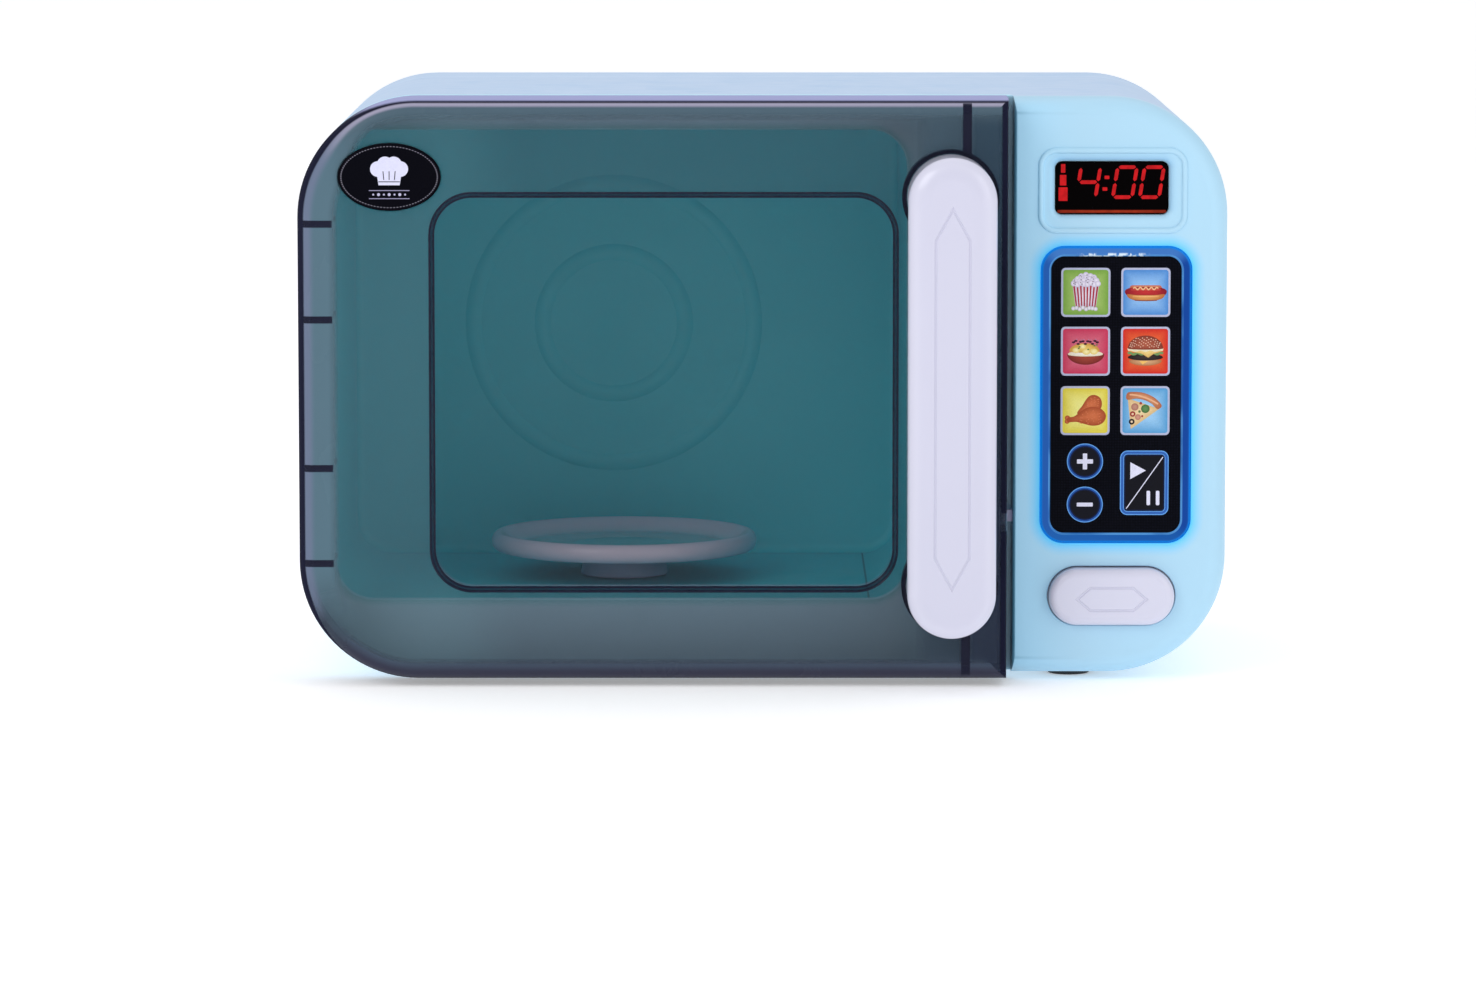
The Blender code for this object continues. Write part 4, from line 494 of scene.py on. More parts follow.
def plastic(name, colour, roughness, cloud=0.05, grain=900.0, bump=0.05, wear=0.25, smear=0.1, dust=0.03, tint=None,
            **plain):
    # grain, then edge wear, then handling; tint(colour, shader) may change the colour before the wear
    material, tree, shader = newMaterial(name, **plain)
    base = grained(tree, colour, cloud, roughness, grain)
    moulded = tint(base["Colour"], shader) if tint else base["Colour"]
    lighter = tuple(min(1.0, c * 1.25 + 0.03) for c in colour[:3]) + (1.0,)
    edges = useGroup(tree, edgeWear, {"Colour": moulded, "Worn Colour": lighter, "Amount": wear})
    rubbed(shader, edges["Colour"], base["Roughness"], smear, dust)
    feed(shader, {"Normal": relief(base["Height"], bump, 0.0002)})
    return material


def metal(name, colour, roughness):
    # brushed streaks in roughness and height, and stains in colour
    material, tree, shader = newMaterial(name, Metallic=1.0)
    spot = spotIn(tree)
    lines = noise(stretched(spot, (900.0, 900.0, 60.0)), 1.0, 4.0)
    dark = tuple(c * 0.72 for c in colour[:3]) + (1.0,)
    stained = mixed(noise(spot, 160.0, 3.0), colour, dark)
    edges = useGroup(tree, edgeWear, {"Colour": stained, "Worn Colour": (0.9, 0.9, 0.9, 1.0), "Amount": 0.35,
                                      "Radius": 0.0003})
    feed(shader, {"Base Color": edges["Colour"], "Normal": relief(lines, 0.12, 0.0001),
                  "Roughness": scaled(lines, 0.22, roughness - 0.11, clamp=True)})
    return material


# Control panel places, which the housing, the ring's glow and the prints share
panel = {
    "left": 80.5, "display": (112.3, 158.0), "displaySize": (36.6, 17.1), "displayCorner": 2.2,
    "touch": (113.9, 91.0), "ringSize": (48.4, 96.0), "ringCorner": 7.5, "ringLine": 2.8,
    "button": (112.8, 25.5), "buttonSize": (40.8, 18.6),
}
# painted light and shade on the casing: the ring's glow on the panel, emission lifting the panel's left strip,
# highlights over the door and along the parting seam, shade in the display's dish and a lavender tint of light on
# upward faces
glow = {"colour": srgb(6, 182, 238), "reach": 4.8, "strength": 0.29, "paintedSideLight": (0.02, 0.24, 0.42, 1.0),
        "browHighlight": (0.40, 0.78, 0.92, 1.0), "behind": (0.66, 0.82, 0.98, 1.0), "dish": (0.66, 0.80, 0.92, 1.0),
        "top": (0.90, 0.86, 0.94, 1.0)}
turntable = {"place": (-46.5, 73.0), "thickness": 2.2, "flat": 35.0, "rimWide": 2.5, "rimTall": 3.1, "peg": 5.0,
             "pegHeight": 1.2, "hubTop": 13.2, "socket": 3.3, "floor": (0.17, 0.60, 0.66, 1.0)}
oven = {"centre": (-46.5, 99.85), "size": (185.6, 152.9), "corner": 12.0, "bounce": (0.10, 0.50, 0.56, 1.0),
        "darkLineDepth": 133.6, "seam": (0.01, 0.08, 0.10, 1.0)}
black = (0.0, 0.0, 0.0, 1.0)


def fromRing(tree):
    return distanceTo(tree, panel["touch"], *panel["ringSize"], panel["ringCorner"])


def ringGlow(colour, shader):
    # painted glow: the panel is painted cyan next to the ring, fading back with distance, and the same painted glow is
    # given as emission
    # also painted: teal bounce light round the oven mouth, a lavender tint of light on upward faces, highlights over
    # the door and along the parting seam, shade in the display's dish, and light on the panel's left strip
    tree = colour.id_data
    spots, (x, depth, _) = fromRing(tree), millimetres(tree)
    front = ramp(depth, 1.5, 0.5)
    # painted glow of the ring's light on the panel
    mask = times(calc("POWER", ramp(spots["Distance"], glow["reach"], -0.4, smooth=False), 1.4), front)
    mouth = distanceTo(tree, oven["centre"], *oven["size"], oven["corner"])["Distance"]
    bounced = times(ramp(mouth, 3.4, -0.4), ramp(depth, 8.0, 8.8), ramp(depth, 20.0, 13.0), 0.75)
    colour = mixed(bounced, colour, oven["bounce"])        # teal light off the liner
    # painted light: upward faces take a lavender tint of the light from above and behind
    upward = times(ramp(facing(tree)["Z"], 0.1, 0.9), ramp(depth, 6.0, 7.5))
    colour = mixed(upward, colour, tinted(colour, glow["top"]))
    browHighlight = times(upward, ramp(x, 81.0, 79.0), ramp(depth, 15.0, 12.0))        # painted highlight along the edge over the door
    colour = mixed(browHighlight, colour, glow["browHighlight"])
    parting = casing["parting"]
    # painted highlight: a lighter line along the parting seam on upward faces
    behind = times(ramp(depth, parting, parting + 0.4), ramp(depth, parting + 3.6, parting + 3.0), upward, 0.3)
    colour = mixed(behind, colour, glow["behind"])
    lens = distanceTo(tree, panel["display"], *panel["displaySize"], panel["displayCorner"])
    # painted shade in the display's dish, darker towards its top
    dish = times(ramp(lens["Distance"], 3.6, 0.0), front, ramp(lens["Rise"], -1.0, 1.0, 0.1, 1.0))
    colour = mixed(dish, colour, tinted(colour, glow["dish"]))
    paintedSideLight = times(ramp(x, panel["left"] + 24, panel["left"]), ramp(depth, 3.0, 0.0))        # painted light: emission that lifts the shade on the panel's left strip beside the door
    feed(shader, {"Emission Color": mixed(mask, mixed(paintedSideLight, black, glow["paintedSideLight"]), glow["colour"]),
                  "Emission Strength": glow["strength"]})
    return mixed(mask, colour, glow["colour"])


def thinFloor(colour, shader):
    # the plate's thin floor takes on the teal below it; its thick rim stays milky
    x, y, _ = millimetres(colour.id_data)
    radius = diagonal(minus(x, turntable["place"][0]), minus(y, turntable["place"][1]))
    return mixed(ramp(radius, turntable["flat"] + 4.0, turntable["flat"] - 3.0), colour, turntable["floor"])


def floorSeams(colour, shader):
    # fine dark lines on the oven's floor: along its back edge, where it turns up into the back wall, and beside the
    # round right corner
    x, y, z = millimetres(colour.id_data)
    right, floor = oven["centre"][0] + oven["size"][0] / 2 - oven["corner"], oven["centre"][1] - oven["size"][1] / 2
    seam = ramp(calc("MINIMUM", away(y, oven["darkLineDepth"]), away(x, right)), 0.45, 0.2)
    flat = times(ramp(z, floor + 1.2, floor + 0.4), ramp(y, oven["darkLineDepth"] + 1.0, oven["darkLineDepth"] + 0.3))
    return mixed(times(seam, flat, 0.7), colour, oven["seam"])


def gripTone(colour, shader):
    # painted shade: the handle's flat front, facing ahead, is painted a touch darker than its round sides, which catch
    # more light
    x, _, _ = millimetres(colour.id_data)
    deep = times(ramp(facing(colour.id_data)["Y"], -0.90, -0.995), ramp(x, 82.0, 80.0))
    return tinted(colour, mixed(deep, (0.985, 0.985, 0.99, 1.0), (0.925, 0.925, 0.945, 1.0)))


casingBlue = plastic("casing blue", (0.43, 0.69, 0.86, 1.0), 0.42, cloud=0.035, bump=0.06, wear=0.04, tint=ringGlow)
linerTeal = plastic("liner teal", (0.08, 0.72, 0.82, 1.0), 0.45, cloud=0.06, bump=0.08, tint=floorSeams)
whiteGloss = plastic("white gloss", (0.665, 0.66, 0.785, 1.0), 0.22, cloud=0.03, bump=0.03, smear=0.01, wear=0.03,
                     tint=gripTone, **{"Coat Weight": 0.25, "Coat Roughness": 0.12})
latchGrey = plastic("latch grey", (0.66, 0.66, 0.90, 1.0), 0.4)
plateMilky = plastic("plate milky", (0.74, 0.66, 0.80, 1.0), 0.2, cloud=0.03, bump=0.0, smear=0.0, wear=0.0, dust=0.0,
                     tint=thinFloor)
hubWhite = plastic("hub white", (0.60, 0.62, 0.84, 1.0), 0.4, wear=0.0)
gearWhite = plastic("gear white", (0.70, 0.69, 0.63, 1.0), 0.45)
innerGrey = plastic("inner grey", (0.10, 0.105, 0.12, 1.0), 0.5)
cellWrap = plastic("cell wrap", (0.03, 0.19, 0.10, 1.0), 0.25, bump=0.02)
boardGreen = plastic("board green", (0.015, 0.13, 0.05, 1.0), 0.35, grain=500.0)
footRubber = plastic("foot rubber", (0.03, 0.03, 0.035, 1.0), 0.75, grain=1400.0, bump=0.25, dust=0.1)
steel = metal("plated steel", (0.62, 0.62, 0.65, 1.0), 0.3)
tin = metal("tin", (0.72, 0.70, 0.64, 1.0), 0.35)
print("plain finishes made")


# Front shell
shell = {
    "seat": 9.0, "seatRound": 0.5, "frontRound": 6.0, "displayRound": 2.2, "panelEdgeShare": 0.22, "mouthRound": 0.7,
    "bead": (112.6, 157.2), "beadSize": (48.3, 27.8), "beadCorner": 6.0, "beadLine": 1.9, "beadProud": 0.8,
    "noseSlot": (2.6, 8.4), "noseHeight": 51.1, "noseSlotHalf": 2.65,
}
hinge = {"x": -145.0, "y": 2.7, "heights": (53.6, 132.4), "spacing": 30.8, "rib": 2.2, "lugRadius": 4.5,
         "pinRadius": 1.5, "gap": 0.4}


def makeFrontShell():
    inside = shell["seat"] + casing["wall"]
    body = layered("front_shell", bodyOutline(), edgeLevels(
        shell["seat"], casing["parting"], shell["seatRound"], casing["partingChamfer"], 4))
    join(body, layered("panel", bodyOutline(left=panel["left"], sideShare=shell["panelEdgeShare"]),
                       edgeLevels(0, inside, shell["frontRound"], 0, 12)))
    mouth = roundRect(oven["centre"], *oven["size"], oven["corner"], 12)
    wall = casing["wall"]
    cut(body,
        layered("inside", bodyOutline(wall), [(0, inside), (0, casing["parting"] + overrun)]),
        layered("panel_inside", bodyOutline(wall, left=panel["left"] + wall), [(0, wall), (0, inside + overrun)]),
        layered("oven_mouth", mouth, holeLevels(shell["seat"], inside + overrun, shell["mouthRound"])))
    half = shell["beadLine"] / 2
    a = np.linspace(0, np.pi, 9)
    bead = [(0.0, 0.4)] + list(zip(half * (1 - np.cos(a)), -shell["beadProud"] * np.sin(a))) + [(2 * half, 0.4)]
    join(body, layered("bead", roundRect(shell["bead"], *shell["beadSize"], shell["beadCorner"], 14), bead, ring=True))
    lugs = []
    for height in hinge["heights"]:
        reach = hinge["spacing"] / 2 - hinge["rib"] / 2 - hinge["gap"]
        arm = arc((hinge["x"], hinge["y"]), hinge["lugRadius"], 0, -270, 28)
        root = shell["seat"] + 0.4
        outline = polygon([(hinge["x"] + hinge["lugRadius"], root), *arm, (hinge["x"], root)])
        lugs.append(layered("lug", outline, [(0, height - reach), (0, height + reach)], "Z"))
    join(body, *lugs)
    gap = 0.3
    through = wall + overrun
    ring = roundRect(panel["touch"], *(np.array(panel["ringSize"]) + 2 * gap), panel["ringCorner"] + gap, 14)
    button = pill(panel["button"], *(np.array(panel["buttonSize"]) + 0.8), 24)
    low, high = shell["noseSlot"]
    middle, reach = shell["noseHeight"], shell["noseSlotHalf"]
    cut(body,
        layered("display", roundRect(panel["display"], *panel["displaySize"], panel["displayCorner"], 8),
                holeLevels(0, through, shell["displayRound"])),
        layered("ring", ring, holeLevels(0, through, 0.15, 3)),
        layered("button", button, holeLevels(0, through, 0.35)),
        block("nose", (panel["left"] - overrun, panel["left"] + through), (low, high),
              (middle - reach, middle + reach)))
    for height in hinge["heights"]:
        cut(body, rod("bore", hinge["pinRadius"] + 0.3, (height - 20, height + 20), (hinge["x"], hinge["y"]), "Z", 32))
    finished(body, casingBlue, "casing", ["front_housing"])


makeFrontShell()
print("front shell made")


# Rear shell
rear = {
    "round": 6.0, "screws": 100.0, "screwInset": 6.2, "screwDepth": 23.0, "counterbore": 3.1, "bore": 1.4, "tube": 4.2,
    "speaker": (-60.0, 110.0), "speakerRing": 18.4, "grilleRadius": 15.0, "grillePitch": 4.2, "grilleSlot": 1.6,
    "grilleRows": 7, "bayCover": 2.0, "switch": (105.0, 126.0), "switchRecess": (18.0, 9.0), "switchDepth": 1.3,
}
batteryLid = {"tabs": 1.8, "corner": 3.0, "tabSpread": 14.0, "gripSize": (16.0, 1.1), "gripPitch": 2.4,
              "head": (2.7, 1.15)}        # the cover's box runs on below its plate by its two tabs
knob = {"margin": 1.2, "travel": 4.0, "ridges": (-0.9, 0.0, 0.9)}        # its base runs past its block by the margin


def lidPlate():
    low, high = nodeBox("battery_cover")
    centre = ((high[0] + low[0]) / 2, (high[2] + low[2] + batteryLid["tabs"]) / 2)
    return centre, roundRect(centre, high[0] - low[0], high[2] - low[2] - batteryLid["tabs"], batteryLid["corner"], 8)


def makeRearShell():
    depth, wall = casing["depth"], casing["wall"]
    start, inside = casing["parting"] + casing["partingGap"], depth - wall
    body = layered("rear_shell", bodyOutline(), edgeLevels(start, depth, casing["partingChamfer"], rear["round"], 12))
    cut(body, layered("inside", bodyOutline(wall), edgeLevels(start - overrun, inside, 0, rear["round"] - wall, 8)))
    lip = [(-0.35, start - 2.5), (-0.35, start + 4), (1.3, start + 4), (1.3, start - 2.5)]
    join(body, layered("lip", bodyOutline(wall + 0.3), lip, ring=True))
    plate, seat = lidPlate()[1], depth - rear["bayCover"] - 0.3
    join(body, layered("pad", plate, [(-2.1, seat - 1.8), (-2.1, inside + 0.4)]))
    cut(body, layered("rebate", plate, openLevels(seat, depth, 0.3)))
    wide, deep = rear["counterbore"], depth - rear["screwDepth"]
    bore = [(rear["bore"], start), (rear["bore"], deep), (wide, deep), (wide, depth - 0.4), (wide + 0.4, depth),
            (wide + 0.4, depth + overrun)]
    for x in (-rear["screws"], rear["screws"]):
        for z in (rear["screwInset"], casingHeight - rear["screwInset"]):
            tube = rod("tube", rear["tube"], (start + 3, inside + 0.4), (x, z), "Y", 40)
            shaped(tube, "INTERSECT", [layered("clip", bodyOutline(0.6), [(0, start), (0, depth - 1.5)])])
            join(body, tube)
            cut(body, turned("bore", bore, (x, z), "Y", 40))
    x, z = rear["speaker"]
    inner, outer = rear["speakerRing"], rear["speakerRing"] + 1.5
    rim = [(inner, inside - 6), (outer, inside - 6), (outer, inside + 0.4), (inner, inside + 0.4)]
    join(body, turned("speaker_ring", rim, (x, z), "Y", 64, ring=True))
    for row in range(rear["grilleRows"]):
        rise = (row - (rear["grilleRows"] - 1) / 2) * rear["grillePitch"]
        length = 2 * math.sqrt(rear["grilleRadius"] ** 2 - rise ** 2)
        cut(body, layered("slot", pill((x, z + rise), length, rear["grilleSlot"], 6),
                          openLevels(inside - overrun, depth)))
    low, high = nodeBox("power_switch")
    room = knob["margin"] - 0.4
    cut(body, layered("recess", roundRect(rear["switch"], *rear["switchRecess"], 2.0, 8),
                      openLevels(depth - rear["switchDepth"], depth)),
        block("slot", (low[0] + room, high[0] - room + knob["travel"]), (inside - overrun, depth),
              (low[2] + room, high[2] - room)))
    finished(body, casingBlue, "casing", ["rear_cover"])


def makeBatteryCover():
    depth, (centre, plate), low = casing["depth"], lidPlate(), nodeBox("battery_cover")[0]
    body = layered("battery_lid", plate, edgeLevels(depth - rear["bayCover"], depth, 0, 0.4, 4))
    wide, seat = batteryLid["head"]
    head = [(rear["bore"], depth - 4), (rear["bore"], depth - seat), (wide, depth - seat), (wide, depth - 0.3),
            (wide + 0.3, depth), (wide + 0.3, depth + overrun)]
    cut(body, turned("head", head, middleOf("battery_cover_screw"), "Y", 40))
    for row in range(3):
        grip = pill((centre[0], centre[1] - 18 + batteryLid["gripPitch"] * row), *batteryLid["gripSize"], 8)
        cut(body, layered("grip", grip, [(0.35, depth - 0.35), (0, depth), (0, depth + overrun)]))
    base = low[2] + batteryLid["tabs"]
    for side in (-1, 1):
        middle = centre[0] + side * batteryLid["tabSpread"]
        for back, bottom in ((1.8, base + 3.0), (2.7, low[2])):
            join(body, block("tab", (middle - 3, middle + 3), (depth - 3.8, depth - back), (bottom, base + 5.2)))
    finished(body, casingBlue, "casing", ["battery_cover"])


def makeSwitchKnob():
    low, high = nodeBox("power_switch")
    centre, (width, _, height) = middleOf("power_switch"), high - low
    inner = 2 * knob["margin"]
    body = layered("switch_knob", roundRect(centre, width - inner, height - inner, 0.5, 5),
                   edgeLevels(low[1], high[1], 0, 0.35, 4))
    join(body, layered("base", roundRect(centre, width, height, 0.4, 4), [(0, low[1]), (0, low[1] + 0.9)]))
    for step in knob["ridges"]:
        x = centre[0] + step
        cut(body, block("ridge", (x - 0.18, x + 0.18), (high[1] - 0.35, high[1] + 1), (low[2], high[2])))
    finished(body, innerGrey, "switch_knob", ["power_switch"])


makeRearShell()
makeBatteryCover()
makeSwitchKnob()
print("rear shell made")


# Screws and feet
screwHead = {"driveWidth": 0.7, "driveReach": 1.5, "shank": 1.1, "bulge": 1.1, "edge": 0.8,
             "pan": (1.7, 0.9), "flush": (0.85, 0.5)}        # height of the head and depth of the drive
rubberFoot = {"edge": 0.8, "rim": 2.4, "hollow": 0.5, "stud": 2.2, "sunk": 0.3}


def makeScrew(name, node):        # a pan head with a cross recess, looking at +Y, on its own shank
    (low, high), centre = nodeBox(node), middleOf(node)
    top, radius = high[1], (high[0] - low[0]) / 2
    a = quarter(8)
    flush = node == "battery_cover_screw"
    height, depth = screwHead["flush" if flush else "pan"]
    edge, bulge, shank = screwHead["edge"], screwHead["bulge"], screwHead["shank"]
    crown = list(zip(radius - edge * (1 - np.cos(a)), top - height + 0.6 + bulge * np.sin(a)))
    if flush:
        crown = [(radius, top - 0.15), (radius - 0.15, top)]
    profile = [(0, low[1]), (shank, low[1] + shank), (shank, top - height), (radius, top - height)]
    screw = turned(name, profile + crown + [(0, top)], centre, "Y", 40)
    wide, reach = screwHead["driveWidth"] / 2, min(screwHead["driveReach"], radius * 0.62)
    for across, up in ((reach, wide), (wide, reach)):
        cut(screw, block("drive", (centre[0] - across, centre[0] + across), (top - depth, top + 1),
                         (centre[1] - up, centre[1] + up)))
    finished(screw, steel, "casing", [node])


for number in range(1, 5):
    makeScrew(f"back_screw_{number}", f"rear_screw_{number}")
makeScrew("lid_screw", "battery_cover_screw")

for foot in ("foot_front_left", "foot_front_right", "foot_rear_left", "foot_rear_right"):
    low, high = nodeBox(foot)
    radius, centre = (high[0] - low[0]) / 2, (low + high)[:2] / 2
    a, edge, stud, sunk = quarter(8), rubberFoot["edge"], rubberFoot["stud"], rubberFoot["sunk"]
    rim = list(zip(radius - edge * (1 - np.sin(a)), low[2] + edge * (1 - np.cos(a))))
    hollow = low[2] + rubberFoot["hollow"]
    dish = [(0, hollow), (radius - rubberFoot["rim"], hollow), (radius - 2.0, low[2])]
    profile = dish + rim + [(radius, -sunk), (stud, -sunk), (stud, high[2]), (0, high[2])]
    finished(turned(foot.replace("foot", "pad"), profile, centre, "Z", 64), footRubber, "casing", [foot])
print("screws and feet made")


# Oven liner
liner = {"wall": 1.6, "back": 137.0, "backRound": 3.0, "flange": 2.6, "ringShift": (-4.5, 2.8), "rings": (24.4, 48.1),
         "ringWidth": 5.6, "ringHeight": 0.7, "shaftHole": 3.4}


def makeLiner():
    start = shell["seat"] + casing["wall"] + 0.3
    inner = roundRect(oven["centre"], *oven["size"], oven["corner"], 14)
    wall, back = liner["wall"], liner["back"]
    body = layered("oven_liner", lambda inset=0.0: inner(inset - wall),
                   edgeLevels(start, back + wall, 0, liner["backRound"] + wall, 8))
    flangeSize = np.array(oven["size"]) + 2 * (wall + liner["flange"])
    join(body, layered("flange", roundRect(oven["centre"], *flangeSize, 28.0, 14), [(0, start), (0, start + 2)]))
    cut(body, layered("hollow", inner, edgeLevels(start - overrun, back, 0, liner["backRound"], 10)))
    centre = np.array(oven["centre"]) + liner["ringShift"]
    a = np.linspace(0, np.pi, 13)
    for radius in liner["rings"]:
        bump = list(zip(radius - liner["ringWidth"] / 2 * np.cos(a), back - liner["ringHeight"] * np.sin(a) ** 2))
        profile = [(bump[0][0], back + 0.4)] + bump + [(bump[-1][0], back + 0.4)]
        join(body, turned("ring", profile, centre, "Y", 128, ring=True))
    floor = oven["centre"][1] - oven["size"][1] / 2
    cut(body, rod("hole", liner["shaftHole"], (floor - 5, floor + 2), turntable["place"], "Z", 48))
    finished(body, linerTeal, "casing", ["cavity_liner"])


makeLiner()
print("oven liner made")


# Turntable
def makePlate():
    low, high = nodeBox("turntable_plate")
    centre, radius = (low + high)[:2] / 2, (high[0] - low[0]) / 2
    bottom, top, wide, tall = low[2], high[2], turntable["rimWide"], turntable["rimTall"]
    floor, seat = bottom + turntable["thickness"], bottom + turntable["pegHeight"]
    flat, peg = turntable["flat"], turntable["peg"] + 0.3
    # the rim is the outer half of an oval; inside it an S curve comes down to the floor
    a = np.radians(np.linspace(-90, 90, 25))
    rim = list(zip(radius - wide + wide * np.cos(a), top - tall + tall * np.sin(a)))
    s = np.linspace(0, 1, 15)[1:]
    fall = list(zip(radius - wide - (radius - wide - flat) * s, top - (top - floor) * s * s * (3 - 2 * s)))
    under = [(0, seat), (peg, seat), (peg, bottom), (flat, bottom), (radius - wide - 2.5, bottom + 0.2)]
    ridge = [(18, floor), (17.4, floor + 0.25), (16.8, floor + 0.25), (16.2, floor), (0, floor)]
    plate = turned("glass_plate", under + rim + fall + ridge, centre, "Z", 160)
    finished(plate, plateMilky, "turntable", ["turntable_plate"])


def makeHub():
    low, high = nodeBox("turntable_hub")
    centre, radius = (low + high)[:2] / 2, (high[0] - low[0]) / 2
    peg, shoulder, a = turntable["peg"], high[2] - turntable["pegHeight"], quarter(6)
    foot = [(0, low[2]), (radius - 0.4, low[2]), (radius, low[2] + 0.4), (radius, low[2] + 1.2)]
    crown = list(zip(turntable["hubTop"] - 0.8 + 0.8 * np.cos(a), shoulder - 0.8 + 0.8 * np.sin(a)))
    hub = turned("hub", foot + crown + [(peg, shoulder), (peg, high[2]), (0, high[2])], centre, "Z", 96)
    socket = polygon(arc(centre, turntable["socket"] / math.cos(math.pi / 6), 0, 360, 6)[:-1])
    cut(hub, layered("socket", socket, [(0, low[2] - 1), (0, shoulder - 0.9)], "Z"))
    finished(hub, hubWhite, "turntable", ["turntable_hub"])


makePlate()
makeHub()
print("turntable made")


# Door
door = {
    "front": -15.0, "back": 8.7, "right": 78.4, "wall": 2.3, "face": 2.5, "edgeRound": 5.0, "rightShare": 0.14,
    "window": (-32.25, 93.0), "windowSize": (151.3, 129.6), "windowCorner": 14.0, "stepWidth": 2.0, "stepDepth": 1.1,
    "ribX": 65.1, "ribWide": 3.0, "ribDepth": 16.5, "hingeRibEnd": -138.7, "hingeRibBack": 6.9,
    "handle": (59.9, 93.0), "footSpread": 62.8, "footRadius": 14.0, "seatRadius": 15.2, "seatDepth": 0.8,
    "badge": (-120.1, 162.6), "badgeSize": (33.1, 21.8), "clearAlpha": 0.21, "hazeAlpha": 0.31,
    "socketRadius": (14.1, 15.5), "socketDepth": (1.5, 8.0), "ribThick": 1.6,
    "darkSide": 2.1, "darkTop": 1.3, "darkFoot": 0.5, "shineSide": 2.5, "shineTop": 1.1,
    "haze": (0.046, 0.056, 0.076, 1), "clear": (0.042, 0.042, 0.052, 1), "line": (0.009, 0.010, 0.028, 1),
    "sideShine": (0.155, 0.195, 0.29, 1), "topShine": (0.38, 0.365, 0.49, 1), "lowShade": (0.037, 0.039, 0.068, 1),
    "lowTop": (0.056, 0.079, 0.12, 1), "sheen": (0.37, 0.39, 0.65, 1), "fog": (0.100, 0.178, 0.228, 1),
    "fogTop": (0.080, 0.130, 0.170, 1), "fogReach": (15.6, 9.5), "fogFull": (9.6, 3.4),
    "leftLitHaze": (0.074, 0.125, 0.152, 1), "pillar": 40.0,
    "pillarHazeShade": ((0.036, 0.056, 0.084, 1), (0.062, 0.106, 0.146, 1)),
    "rightHazeShade": ((0.030, 0.043, 0.078, 1), (0.040, 0.078, 0.118, 1)), "ribPaint": 1.15, "ribDrop": 0.4, "notch": 3.1,
    "notchHalf": 3.25, "pinBore": 1.8,
}


